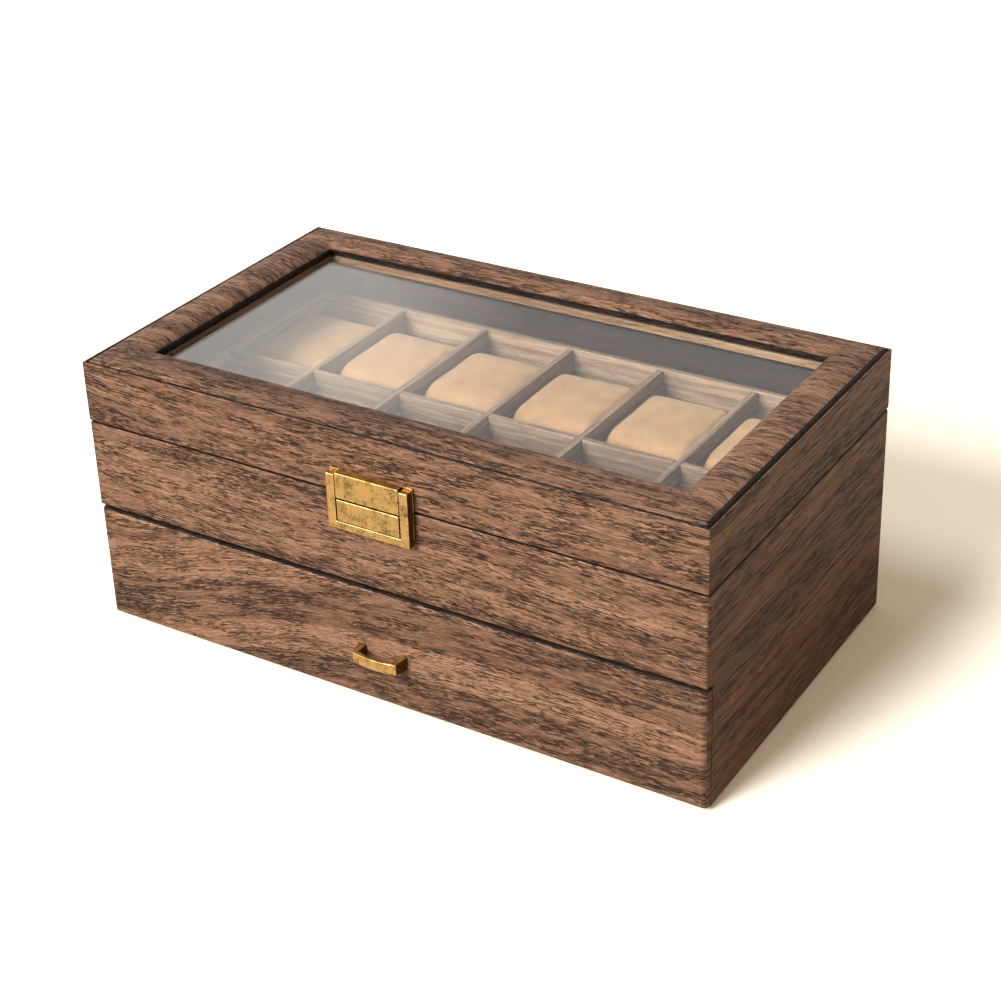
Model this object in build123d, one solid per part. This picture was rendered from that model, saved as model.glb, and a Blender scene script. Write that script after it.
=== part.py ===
from build123d import *
import math
import os

# Watch box with a glazed lid, twelve pillows and a drawer under them.
# Millimetres, +Z up, front towards -Y, origin at the middle of the footprint on the surface.

os.makedirs("parts", exist_ok=True)

# Overall sizes
width = 336.0
depth = 194.0
height = 144.0
lid_height = 32.5
drawer_zone = 65.0

# Boards of the case
felt = 1.0
felt_inset = 5.0
side_wall = 9.0
end_wall = 11.5
base_board = 5.0
deck_board = 4.0
corner_r = 1.5
front_lip_r = 2.0
lid_gap = 0.5
drawer_seam = 1.2

# Working values: how far a cut runs past what it cuts, and how near counts as the same place
past = 1.0
same = 0.01

# Compartments
columns = 6
liner = 3.0
floor_pad = 1.5
divider = 3.5
rim_drop = 0.3
slot_gap = 0.15
strap_gap = 10.25

# Pillows
pillow_side_gap = 2.0
pillow_drop = 2.2
pillow_crown = 1.4
pillow_corner_r = 9.5
pillow_corner_share = 0.4
pillow_end_r = 4.0
soft_gap = 0.3

# Lid
lid_side_wall = 9.5
lid_end_wall = 11.5
side_bar = 24.0
front_bar = 26.0
back_bar = 21.5
top_frame = 2.0
frame_set_back = 1.0
top_pad = 3.0
pad_r = 2.4
pad_rim = 1.2
pad_rim_gap = 0.3
pad_rim_drop = 0.5
glass = 2.0
glass_hold = 5.0
glass_gap = 0.4
bead_height = 4.0
bead_reveal = 0.8

# Drawer
overlay = 5.0
overlay_r = 2.2
overlay_lift = 0.6
overlay_clear = 0.4
drawer_board = 6.0
drawer_bottom = 3.0
drawer_pad = 2.0
drawer_side_gap = 1.0
drawer_back_gap = 2.5
drawer_head_gap = 5.2
drawer_compartments = 4
drawer_divider = 4.0
drawer_divider_drop = 6.0
glide = 0.8
glide_width = 8.0
glide_set_back = 2.0
running_gap = 0.3
batten_height = 4.0
batten_depth = 6.0
batten_catch = 3.0
bottom_rise = 2.0

# Drawer pull, a bowed bail on two flared feet
pull_z = 28.9
pull_foot_out = 13.7
pull_foot_in = 9.3
pull_front_out = 12.2
pull_front_in = 9.85
pull_reach = 7.6
pull_bow = 1.5
pull_bar = 1.8
pull_foot_height = 7.0
pull_front_height = 5.3
pull_edge_r = 0.35
pull_corner_r = 1.0

# Clasp
clasp_half = 22.5
clasp_tall = 13.0
plate = 1.0
clasp_front = 5.2
leg_width = 4.5
leg_in = 17.6
leg_top = 12.0
frame_drop = 16.0
frame_bar = 4.0
frame_stand_off = 0.3
block_gap = 0.4
button_side_gap = 0.7
button_top_gap = 0.7
button_foot_gap = 0.4
button_thick = 2.5
button_travel = 1.5
button_relief = 0.9
button_relief_half = 8.0
button_relief_foot = 1.0
hook_lift = 0.1
tongue_half = 5.5
tongue_long = 6.0
tongue = 0.8
tongue_fit = 0.5
tongue_foot_gap = 1.0
tongue_set_back = 0.05
tongue_root = 2.0
tongue_root_thick = 0.5
tongue_clear = 0.25
window_low = 1.2
window_high = 3.2
catch_half = 3.0
catch_thick = 0.65
catch_foot = 2.0
catch_nose = 3.5
stem_x = 12.5
stem_r = 1.2
spring_pocket_r = 2.9
spring_pocket = 6.0
spring_r = 2.1
spring_wire = 0.5
spring_turns = 5
spring_end_gap = 0.1
clasp_edge = 0.3

# Hinges
hinge_x = 100.0
hinge_long = 38.0
leaf = 1.2
leaf_wide = 9.0
knuckle_r = 2.4
knuckle_gap = 0.3
middle_knuckle = 12.0
wall_clear = 0.3
pin_r = 1.1
pin_fit = 0.05
pin_end = 0.6
pin_end_r = 0.36
tail_reach = 6.0
tail_half = 12.0
tail_root = 0.4
tail_clear = 0.5
open_limit = 95.0
stop_spare = 2.0

# Screws
wood_head_r = 2.0
wood_shank_r = 1.0
wood_long = 8.0
clasp_head_r = 1.5
clasp_shank_r = 0.75
clasp_long = 7.0
clasp_screw_x = 19.6
hinge_screw_x = 13.0
pull_screw_in = 0.2
pull_shank_r = 1.1
pull_head_r = 2.6
pull_head_top_r = 1.82
pull_head_side = 0.64
pull_head = 1.6
pull_bite = 3.5
hole_fit = 0.05
cone_angle = 45.0
slot_width = 0.5
slot_deep = 0.4

# Planes and levels that several pieces share
half_w = width / 2
half_d = depth / 2
body_z = felt
seam_z = height - lid_height
front_wall_z = drawer_zone + drawer_seam / 2
drawer_top_z = drawer_zone - drawer_seam / 2
bay_floor_z = body_z + base_board
floor_z = front_wall_z + deck_board + floor_pad
bay_x = half_w - side_wall
bay_y = half_d - end_wall
cell_x = bay_x - liner
cell_y = bay_y - liner
rim_z = seam_z - rim_drop
pitch = 2 * cell_x / columns
notch_y = -half_d + overlay + overlay_clear
lid_z = seam_z + lid_gap
pad_z = height - top_pad
frame_z = pad_z - top_frame
glass_z = frame_z - glass
open_x = half_w - side_bar
open_front = -half_d + front_bar
open_back = half_d - back_bar
hinge_y = half_d + wall_clear + knuckle_r
hinge_z = seam_z + lid_gap / 2
clasp_plate_y = -half_d - plate
clasp_face_y = -half_d - clasp_front
button_back_y = clasp_face_y + button_thick
button_z = seam_z - button_top_gap - (frame_drop - frame_bar - button_top_gap) / 2


def block(x, y, z):
    """A plain block between two planes on each axis."""
    size = [pair[1] - pair[0] for pair in (x, y, z)]
    middle = [(pair[0] + pair[1]) / 2 for pair in (x, y, z)]
    return Pos(*middle) * Box(*size)


def ring(outer, inner, z):
    """A frame between two rectangles, each given as its x and y limits."""
    return block(*outer, z) - block(*inner, (z[0] - past, z[1] + past))


def upright_edges(solid, x, y):
    """The vertical edges of a solid that stand on one line in plan."""
    edges = solid.edges().filter_by(Axis.Z)
    return [e for e in edges if math.hypot(e.center().X - x, e.center().Y - y) < same]


def front_edges(solid, y):
    """The edges of a solid that lie in one plane parallel to the front."""
    return [e for e in solid.edges() if abs(e.center().Y - y) < same]


def lower_lip(wall):
    """The long edge at the foot of a wall's front face, over the drawer's seam."""
    edges = [e for e in wall.edges().filter_by(Axis.X) if abs(e.center().Y + half_d) < same]
    return [e for e in edges if e.center().Z < seam_z - past]


def turned(points):
    """A solid of revolution about Z from its half outline in x and z."""
    outline = Plane.XZ * make_face(Polyline(*points, close=True))
    return revolve(outline, Axis.Z)


def countersunk(head_r, shank_r, long, fit=0.0):
    """A countersunk screw's body, head up at the origin and shank along -Z."""
    cone = (head_r - shank_r) / math.tan(math.radians(cone_angle))
    points = [
        (0, 0),
        (head_r + fit, 0),
        (shank_r + fit, -cone),
        (shank_r + fit, -long + 2 * shank_r),
        (0, -long - fit),
    ]
    return turned(points)


def slotted(body, head_r):
    """The same screw with a driver slot across its head."""
    return body - Box(2 * (head_r + past), slot_width, 2 * slot_deep)


def screw_spots():
    """Where each countersunk screw stands: (group, head radius, shank radius, length, place)."""
    leaf_y = half_d - leaf_wide / 2
    spots = []
    for side in (-1, 1):
        for step in (-1, 1):
            x = side * hinge_x + step * hinge_screw_x
            down = Pos(x, leaf_y, seam_z)
            up = Pos(x, leaf_y, lid_z) * Rot(180, 0, 0)
            spots.append(("case", wood_head_r, wood_shank_r, wood_long, down))
            spots.append(("lid", wood_head_r, wood_shank_r, wood_long, up))
        turn = Rot(90, 0, 0)
        low = Pos(side * clasp_screw_x, clasp_plate_y, seam_z - clasp_tall / 2) * turn
        high = Pos(side * clasp_screw_x, clasp_plate_y, lid_z + clasp_tall / 2) * turn
        spots.append(("case", clasp_head_r, clasp_shank_r, clasp_long, low))
        spots.append(("lid", clasp_head_r, clasp_shank_r, clasp_long, high))
    return spots


def screws(group):
    """The countersunk screws of one group, as separate solids."""
    made = []
    for name, head_r, shank_r, long, place in screw_spots():
        if name == group:
            made.append(place * slotted(countersunk(head_r, shank_r, long), head_r))
    return made


def drilled(solid, group):
    """A board or plate with the holes of one group of screws."""
    for name, head_r, shank_r, long, place in screw_spots():
        if name == group:
            solid = solid - place * countersunk(head_r, shank_r, long, hole_fit)
    return solid


def pull_screw_places():
    """The two screws that hold the drawer pull, heads inside the drawer."""
    x = (pull_foot_out + pull_foot_in) / 2 - pull_screw_in
    return [Pos(side * x, -half_d + overlay + drawer_board, pull_z) for side in (-1, 1)]


def pull_screw(fit=0.0):
    """One pull screw with its head at the origin and its shank along -Y."""
    shank = overlay + drawer_board + pull_bite
    points = [
        (0, pull_head),
        (pull_head_top_r, pull_head),
        (pull_head_r, pull_head_side),
        (pull_head_r, 0),
        (pull_shank_r + fit, 0),
        (pull_shank_r + fit, -shank - fit),
        (0, -shank - fit),
    ]
    return Rot(-90, 0, 0) * turned(points)


# Case boards


def case_side(side):
    """A side wall, cut back at its lower front for the drawer's overlay panel."""
    x = sorted((side * half_w, side * bay_x))
    wall = block(x, (-half_d, half_d), (body_z, seam_z))
    notch = block((-half_w, half_w), (-half_d - past, notch_y), (0, front_wall_z))
    wall = wall - notch
    wall = fillet(lower_lip(wall), front_lip_r)
    edges = upright_edges(wall, side * half_w, -half_d) + upright_edges(wall, side * half_w, half_d)
    return fillet(edges, corner_r)


def upper_front():
    """The fixed front above the drawer, with the pockets behind the clasp."""
    wall = block((-bay_x, bay_x), (-half_d, -bay_y), (front_wall_z, seam_z))
    wall = fillet(lower_lip(wall), front_lip_r)
    wall = wall - block(
        (-tongue_half - tongue_fit, tongue_half + tongue_fit),
        (-half_d - past, -half_d + button_travel),
        (seam_z - tongue_long - tongue_foot_gap, seam_z + past),
    )
    for side in (-1, 1):
        pocket = Pos(side * stem_x, -half_d + spring_pocket / 2, button_z)
        wall = wall - pocket * Rot(90, 0, 0) * Cylinder(spring_pocket_r, spring_pocket)
    return drilled(wall, "case")


def case_back():
    """The back wall, with a mortise for each hinge leaf in its rim."""
    wall = block((-bay_x, bay_x), (bay_y, half_d), (body_z, seam_z))
    for side in (-1, 1):
        x = side * hinge_x
        wall = wall - block(
            (x - hinge_long / 2, x + hinge_long / 2),
            (half_d - leaf_wide, half_d + past),
            (seam_z - leaf, seam_z + past),
        )
    return drilled(wall, "case")


def base_panel():
    """The bottom board of the case, between the walls."""
    return block((-bay_x, bay_x), (notch_y, bay_y), (body_z, bay_floor_z))


def base_felt():
    """The felt sheet that the box stands on."""
    x = half_w - felt_inset
    return block((-x, x), (notch_y + felt_inset, half_d - felt_inset), (0, felt))


def deck():
    """The board between the drawer bay and the compartments."""
    return block((-bay_x, bay_x), (-bay_y, bay_y), (front_wall_z, front_wall_z + deck_board))


def stop_batten():
    """The strip under the deck that catches the drawer's back."""
    x = bay_x - drawer_side_gap - drawer_board
    z = (front_wall_z - batten_height, front_wall_z)
    return block((-x, x), (-bay_y, -bay_y + batten_depth), z)


def glides():
    """The two slippery strips that the drawer's sides run on."""
    made = []
    for side in (-1, 1):
        x = sorted((side * bay_x, side * (bay_x - glide_width)))
        y = (notch_y + glide_set_back, bay_y)
        made.append(block(x, y, (bay_floor_z, bay_floor_z + glide)))
    return made


def compartment_liner():
    """The covered inner frame whose rim shows as a pale ledge inside the lid."""
    z = (front_wall_z + deck_board, rim_z)
    return ring(((-bay_x, bay_x), (-bay_y, bay_y)), ((-cell_x, cell_x), (-cell_y, cell_y)), z)


def compartment_floor():
    """The padded floor of the compartments."""
    return block((-cell_x, cell_x), (-cell_y, cell_y), (floor_z - floor_pad, floor_z))


def divider_columns():
    """The x of each cross divider, between the columns of cells."""
    return [-cell_x + pitch * (i + 1) for i in range(columns - 1)]


def divider_middle_z():
    """The level where the crossed dividers' slots meet."""
    return (floor_z + rim_z) / 2


def long_divider():
    """The divider between the two rows, slotted from above."""
    z = (floor_z, rim_z - rim_drop)
    board = block((-cell_x + slot_gap, cell_x - slot_gap), (-divider / 2, divider / 2), z)
    half = divider / 2 + slot_gap
    for x in divider_columns():
        board = board - block((x - half, x + half), (-divider, divider), (divider_middle_z(), seam_z))
    return board


def cross_divider(x):
    """A divider between two columns, slotted from below."""
    z = (floor_z, rim_z - rim_drop)
    board = block((x - divider / 2, x + divider / 2), (-cell_y + slot_gap, cell_y - slot_gap), z)
    half = divider / 2 + slot_gap
    top = divider_middle_z() + slot_gap
    return board - block((x - divider, x + divider), (-half, half), (floor_z - past, top))


# Pillows


def pillow_place(row, column):
    """The centre of a pillow on the compartment floor; row 0 is the front one."""
    middle = (divider / 2 + cell_y) / 2
    x = -cell_x + pitch * (column + 0.5)
    return x, middle if row else -middle


def pillow(row, column):
    """A crowned pillow: a rounded outline drawn across the box, with soft sewn ends."""
    x, y = pillow_place(row, column)
    half = (cell_y - divider / 2) / 2 - strap_gap
    bottom = floor_z + soft_gap
    top = rim_z - pillow_drop
    shoulder = top - pillow_crown
    outline = make_face(
        [
            Line((-half, bottom), (half, bottom)),
            Line((half, bottom), (half, shoulder)),
            ThreePointArc((half, shoulder), (0, top), (-half, shoulder)),
            Line((-half, shoulder), (-half, bottom)),
        ]
    )
    corner = min(pillow_corner_r, pillow_corner_share * (shoulder - bottom))
    outline = fillet(outline.vertices(), corner)
    long = pitch - divider - 2 * pillow_side_gap
    body = extrude(Plane.YZ * outline, long / 2, both=True)
    ends = [e for e in body.edges() if abs(abs(e.center().X) - long / 2) < same]
    return Pos(x, y, 0) * fillet(ends, pillow_end_r)


# Lid


def lid_side(side):
    """A side wall of the lid."""
    x = sorted((side * half_w, side * (half_w - lid_side_wall)))
    wall = block(x, (-half_d, half_d), (lid_z, frame_z))
    edges = upright_edges(wall, side * half_w, -half_d) + upright_edges(wall, side * half_w, half_d)
    return fillet(edges, corner_r)


def lid_front():
    """The front wall of the lid."""
    x = half_w - lid_side_wall
    wall = block((-x, x), (-half_d, -half_d + lid_end_wall), (lid_z, frame_z))
    return drilled(wall, "lid")


def lid_back():
    """The back wall of the lid, with a mortise for each hinge leaf."""
    x = half_w - lid_side_wall
    wall = block((-x, x), (half_d - lid_end_wall, half_d), (lid_z, frame_z))
    for side in (-1, 1):
        middle = side * hinge_x
        wall = wall - block(
            (middle - hinge_long / 2, middle + hinge_long / 2),
            (half_d - leaf_wide, half_d + past),
            (lid_z - past, lid_z + leaf),
        )
    return drilled(wall, "lid")


def lid_opening(grow=0.0):
    """The x and y limits of the lid's window, made larger by grow on each side."""
    return (-open_x - grow, open_x + grow), (open_front - grow, open_back + grow)


def lid_outline(shrink=0.0):
    """The x and y limits of the lid, made smaller by shrink on each side."""
    return (shrink - half_w, half_w - shrink), (shrink - half_d, half_d - shrink)


def corner_edges(solid, shrink=0.0):
    """The upright edges at the four outer corners, drawn in by shrink."""
    found = []
    for x in lid_outline(shrink)[0]:
        for y in lid_outline(shrink)[1]:
            found += upright_edges(solid, x, y)
    return found


def lid_top_frame():
    """The board on top of the lid's walls, with the window cut in it and a rim round the pad."""
    board = ring(lid_outline(), lid_opening(frame_set_back), (frame_z, pad_z))
    rim = ring(lid_outline(), lid_outline(pad_rim), (pad_z, height - pad_rim_drop))
    return fillet(corner_edges(board + rim), corner_r)


def lid_top_pad():
    """The padded cover of the lid's top, rolled over at its outer and inner edges."""
    inset = pad_rim + pad_rim_gap
    pad = ring(lid_outline(inset), lid_opening(), (pad_z, height))
    pad = fillet(corner_edges(pad, inset), corner_r)
    top = [e for e in pad.edges() if abs(e.center().Z - height) < same]
    return fillet(top, pad_r)


def glass_limits(grow=0.0):
    """The x and y limits of the pane, which the bead holds all round."""
    return lid_opening(glass_hold + grow)


def glass_pane():
    """The pane, held up against the underside of the top board."""
    return block(*glass_limits(), (glass_z, frame_z))


def glass_bead():
    """The rebated frame that holds the pane from below."""
    x = half_w - lid_side_wall
    outer = (-x, x), (-half_d + lid_end_wall, half_d - lid_end_wall)
    bead = ring(outer, lid_opening(bead_reveal), (glass_z - bead_height, frame_z))
    return bead - block(*glass_limits(glass_gap), (glass_z, frame_z + past))


# Hinges, stop hinges whose tails meet when the lid is fully open


def knuckle(x, radius):
    """A barrel section of a hinge between two x, about the hinge line."""
    long = x[1] - x[0]
    place = Pos((x[0] + x[1]) / 2, hinge_y, hinge_z) * Rot(0, 90, 0)
    return place * Cylinder(radius, long)


def tail(x, angle, above, inner):
    """A stop tail between two x, lying on the line at this angle behind the hinge line."""
    z = (0, leaf) if above else (-leaf, 0)
    strip = block(x, (inner, tail_reach), z)
    return Pos(0, hinge_y, hinge_z) * Rot(angle, 0, 0) * strip


def hinge_bore(middle):
    """The pin's hole through one hinge."""
    x = (middle - hinge_long, middle + hinge_long)
    return knuckle(x, pin_r + pin_fit)


def tail_angle():
    """How far each tail leans from level, so that they meet at the lid's limit."""
    return (open_limit + stop_spare) / 2


def base_leaf(side):
    """The case's leaf: outer knuckles, plate in the rim and two short tails."""
    middle = side * hinge_x
    x = (middle - hinge_long / 2, middle + hinge_long / 2)
    gap = middle_knuckle / 2 + knuckle_gap
    z = (seam_z - leaf, seam_z)
    solid = block(x, (half_d - leaf_wide, half_d), z)
    for near, far in ((x[0], middle - gap), (middle + gap, x[1])):
        solid += block((near, far), (half_d, hinge_y), z)
        solid += knuckle((near, far), knuckle_r)
    for near, far in ((middle - tail_half, middle - gap), (middle + gap, middle + tail_half)):
        solid += tail((near, far), -tail_angle(), False, knuckle_r - tail_root)
    return drilled(solid - hinge_bore(middle), "case")


def lid_leaf(side):
    """The lid's leaf: middle knuckle, plate in the rim and one wide tail."""
    middle = side * hinge_x
    x = (middle - hinge_long / 2, middle + hinge_long / 2)
    near, far = middle - middle_knuckle / 2, middle + middle_knuckle / 2
    z = (lid_z, lid_z + leaf)
    solid = block(x, (half_d - leaf_wide, half_d), z)
    solid += block((near, far), (half_d, hinge_y), z)
    solid += knuckle((near, far), knuckle_r)
    solid += tail((near, far), tail_angle(), True, knuckle_r - tail_root)
    wide = (middle - tail_half, middle + tail_half)
    solid += tail(wide, tail_angle(), True, knuckle_r + tail_clear)
    return drilled(solid - hinge_bore(middle), "lid")


def hinge_pins():
    """The two hinge pins, a little longer than their barrels and rounded at the ends."""
    made = []
    for side in (-1, 1):
        middle = side * hinge_x
        half = hinge_long / 2 + pin_end
        pin = knuckle((middle - half, middle + half), pin_r)
        ends = [e for e in pin.edges() if abs(abs(e.center().X - middle) - half) < same]
        made.append(fillet(ends, pin_end_r))
    return made


# Clasp


def clasp_base_plate():
    """The case's clasp plate, with the tongue's notch and the catch in front of it."""
    solid = block((-clasp_half, clasp_half), (clasp_plate_y, -half_d), (seam_z - clasp_tall, seam_z))
    notch_half = tongue_half + tongue_fit
    notch_z = seam_z - tongue_long - tongue_foot_gap
    y = (clasp_plate_y - past, -half_d + past)
    solid = solid - block((-notch_half, notch_half), y, (notch_z, seam_z + past))
    for side in (-1, 1):
        hole = Pos(side * stem_x, clasp_plate_y, button_z) * Rot(90, 0, 0)
        solid = solid - hole * Cylinder(spring_pocket_r, 4 * plate)
    catch_y = (clasp_plate_y - tongue_clear - catch_thick, clasp_plate_y)
    catch_x = (-catch_half, catch_half)
    solid += block(catch_x, catch_y, (notch_z - catch_foot, notch_z))
    nose_y = (catch_y[0], clasp_plate_y - tongue_clear)
    solid += block(catch_x, nose_y, (notch_z, notch_z + catch_nose))
    return drilled(solid, "case")


def clasp_frame():
    """The three-sided frame round the button, its legs reaching up past the seam."""
    y = (clasp_face_y, clasp_plate_y)
    leg_out = leg_in + leg_width
    solid = block((-leg_out, leg_out), y, (seam_z - frame_drop, seam_z + leg_top))
    bar_z = seam_z - frame_drop + frame_bar
    above = seam_z + leg_top + past
    solid = solid - block((-leg_in, leg_in), (y[0] - past, y[1] + past), (bar_z, above))
    behind = (clasp_plate_y - frame_stand_off, clasp_plate_y + past)
    solid = solid - block((-leg_out - past, leg_out + past), behind, (seam_z, above))
    return chamfer(front_edges(solid, clasp_face_y), clasp_edge)


def clasp_button():
    """The push button, with two stems for its springs and a relief over the catch."""
    half = leg_in - button_side_gap
    low = seam_z - frame_drop + frame_bar + button_foot_gap
    high = seam_z - button_top_gap
    solid = block((-half, half), (clasp_face_y, button_back_y), (low, high))
    solid = chamfer(front_edges(solid, clasp_face_y), clasp_edge)
    relief_y = (button_back_y - button_relief, button_back_y + past)
    relief_x = (-button_relief_half, button_relief_half)
    solid = solid - block(relief_x, relief_y, (low + button_relief_foot, high + past))
    stem = -half_d + spring_pocket - button_travel - running_gap - button_back_y
    for side in (-1, 1):
        place = Pos(side * stem_x, button_back_y + stem / 2, button_z) * Rot(90, 0, 0)
        solid += place * Cylinder(stem_r, stem)
    return solid


def clasp_springs():
    """The two coil springs round the button's stems."""
    made = []
    start = button_back_y + spring_wire / 2 + spring_end_gap
    long = -half_d + spring_pocket - spring_wire / 2 - spring_end_gap - start
    coil = Helix(pitch=long / spring_turns, height=long, radius=spring_r)
    wire = sweep(Plane(coil @ 0, z_dir=coil % 0) * Circle(spring_wire / 2), coil, is_frenet=True)
    for side in (-1, 1):
        made.append(Pos(side * stem_x, start, button_z) * Rot(-90, 0, 0) * wire)
    gap = long / spring_turns - spring_wire
    print(f"clasp spring: {spring_turns} turns, least gap between turns {gap:.2f} mm")
    return made


def clasp_lid_plate():
    """The lid's clasp plate."""
    z = (lid_z, lid_z + clasp_tall - lid_gap)
    solid = block((-clasp_half, clasp_half), (clasp_plate_y, -half_d), z)
    return drilled(solid, "lid")


def clasp_hook():
    """The lid's block between the frame's legs, with the tongue that the catch holds."""
    half = leg_in - block_gap
    z = (seam_z + hook_lift, lid_z + clasp_tall - lid_gap)
    solid = block((-half, half), (clasp_face_y, clasp_plate_y), z)
    solid = chamfer(front_edges(solid, clasp_face_y), clasp_edge)
    y = (clasp_plate_y - tongue_set_back, clasp_plate_y - tongue_set_back + tongue)
    tongue_x = (-tongue_half, tongue_half)
    root = block(tongue_x, (y[0] - tongue_root_thick, y[0]), (seam_z + hook_lift, seam_z + tongue_root))
    blade = block(tongue_x, y, (seam_z - tongue_long, lid_z))
    window_z = (seam_z - tongue_long + window_low, seam_z - tongue_long + window_high)
    window_x = (-catch_half - tongue_fit, catch_half + tongue_fit)
    blade = blade - block(window_x, (y[0] - past, y[1] + past), window_z)
    return solid + root + blade


# Drawer


def drawer_box_limits():
    """The x half width, front and back y, and bottom and top z of the drawer's box."""
    x = bay_x - drawer_side_gap
    y = (-half_d + overlay, bay_y - drawer_back_gap)
    z = (bay_floor_z + glide + running_gap, front_wall_z - drawer_head_gap)
    return x, y, z


def drawer_front():
    """The overlay panel that covers the bay, flush with the case's sides."""
    z = (body_z + overlay_lift, drawer_top_z)
    panel = block((-half_w, half_w), (-half_d, -half_d + overlay), z)
    panel = fillet(upright_edges(panel, -half_w, -half_d) + upright_edges(panel, half_w, -half_d), corner_r)
    long_edges = [e for e in front_edges(panel, -half_d) if e.length > drawer_zone]
    return pull_drilled(fillet(long_edges, overlay_r))


def pull_drilled(solid):
    """A panel with the two holes of the pull's screws."""
    for place in pull_screw_places():
        solid = solid - place * pull_screw(hole_fit)
    return solid


def drawer_inner_front():
    """The front board of the drawer's box, behind the overlay panel."""
    x, y, z = drawer_box_limits()
    return pull_drilled(block((-x, x), (y[0], y[0] + drawer_board), z))


def drawer_side(side):
    """A side board of the drawer."""
    x, y, z = drawer_box_limits()
    across = sorted((side * x, side * (x - drawer_board)))
    return block(across, (y[0] + drawer_board, y[1]), z)


def drawer_back():
    """The back board, high enough to meet the stop batten."""
    x, y, z = drawer_box_limits()
    high = front_wall_z - batten_height + batten_catch
    x = x - drawer_board
    return block((-x, x), (y[1] - drawer_board, y[1]), (z[0], high))


def drawer_bottom_board():
    """The bottom board, held between the drawer's sides."""
    x, y, z = drawer_box_limits()
    x = x - drawer_board
    low = z[0] + bottom_rise
    return block((-x, x), (y[0] + drawer_board, y[1] - drawer_board), (low, low + drawer_bottom))


def drawer_inner():
    """The x half width and y limits inside the drawer, and the top of its bottom board."""
    x, y, z = drawer_box_limits()
    inside = (y[0] + drawer_board, y[1] - drawer_board)
    return x - drawer_board, inside, z[0] + bottom_rise + drawer_bottom


def drawer_floor():
    """The lined floor of the drawer."""
    x, y, z = drawer_inner()
    return block((-x, x), y, (z, z + drawer_pad))


def drawer_divider_board(number):
    """One of the lined boards that part the drawer into compartments."""
    x, y, z = drawer_inner()
    clear = (2 * x - (drawer_compartments - 1) * drawer_divider) / drawer_compartments
    start = -x + clear * number + drawer_divider * (number - 1)
    top = drawer_box_limits()[2][1] - drawer_divider_drop
    return block((start, start + drawer_divider), (y[0] + slot_gap, y[1] - slot_gap), (z + drawer_pad, top))


def drawer_pull():
    """The bowed bail: flared feet, a lower bar at the front and softened edges."""
    face = -half_d
    front = face - pull_reach
    inner = front + pull_bar
    outer_arc = ThreePointArc((-pull_front_out, front), (0, front - pull_bow), (pull_front_out, front))
    inner_arc = ThreePointArc((pull_front_in, inner), (0, inner - pull_bow), (-pull_front_in, inner))
    outline = make_face(
        [
            Line((-pull_foot_out, face), (-pull_front_out, front)),
            outer_arc,
            Line((pull_front_out, front), (pull_foot_out, face)),
            Line((pull_foot_out, face), (pull_foot_in, face)),
            Line((pull_foot_in, face), (pull_front_in, inner)),
            inner_arc,
            Line((-pull_front_in, inner), (-pull_foot_in, face)),
            Line((-pull_foot_in, face), (-pull_foot_out, face)),
        ]
    )
    corners = [v for v in outline.vertices() if v.Y < face - past]
    outline = fillet(corners, pull_corner_r)
    solid = extrude(Plane.XY * outline, pull_foot_height / 2, both=True)
    foot = pull_foot_height / 2
    tip = pull_front_height / 2
    wedge = Polyline(
        (face, foot), (front - pull_bow, tip), (front - pull_bow, -tip), (face, -foot), close=True
    )
    solid = solid & extrude(Plane.YZ * make_face(wedge), pull_foot_out + past, both=True)
    edges = [e for e in solid.edges() if e.center().Y < face - same]
    solid = fillet(edges, pull_edge_r)
    return pull_drilled(Pos(0, 0, pull_z) * solid)


def pull_screws():
    """The two screws of the drawer pull."""
    made = []
    for place in pull_screw_places():
        slot = Pos(0, pull_head, 0) * Box(2 * (pull_head_r + past), 2 * slot_deep, slot_width)
        made.append(place * (pull_screw() - slot))
    return made


def save(name, shape):
    """Write one named node; a list of solids becomes one group."""
    if isinstance(shape, (list, tuple)):
        shape = Compound(children=[Part(s.wrapped) for s in shape])
    shape.label = name
    export_step(shape, f"parts/{name}.step")


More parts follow.
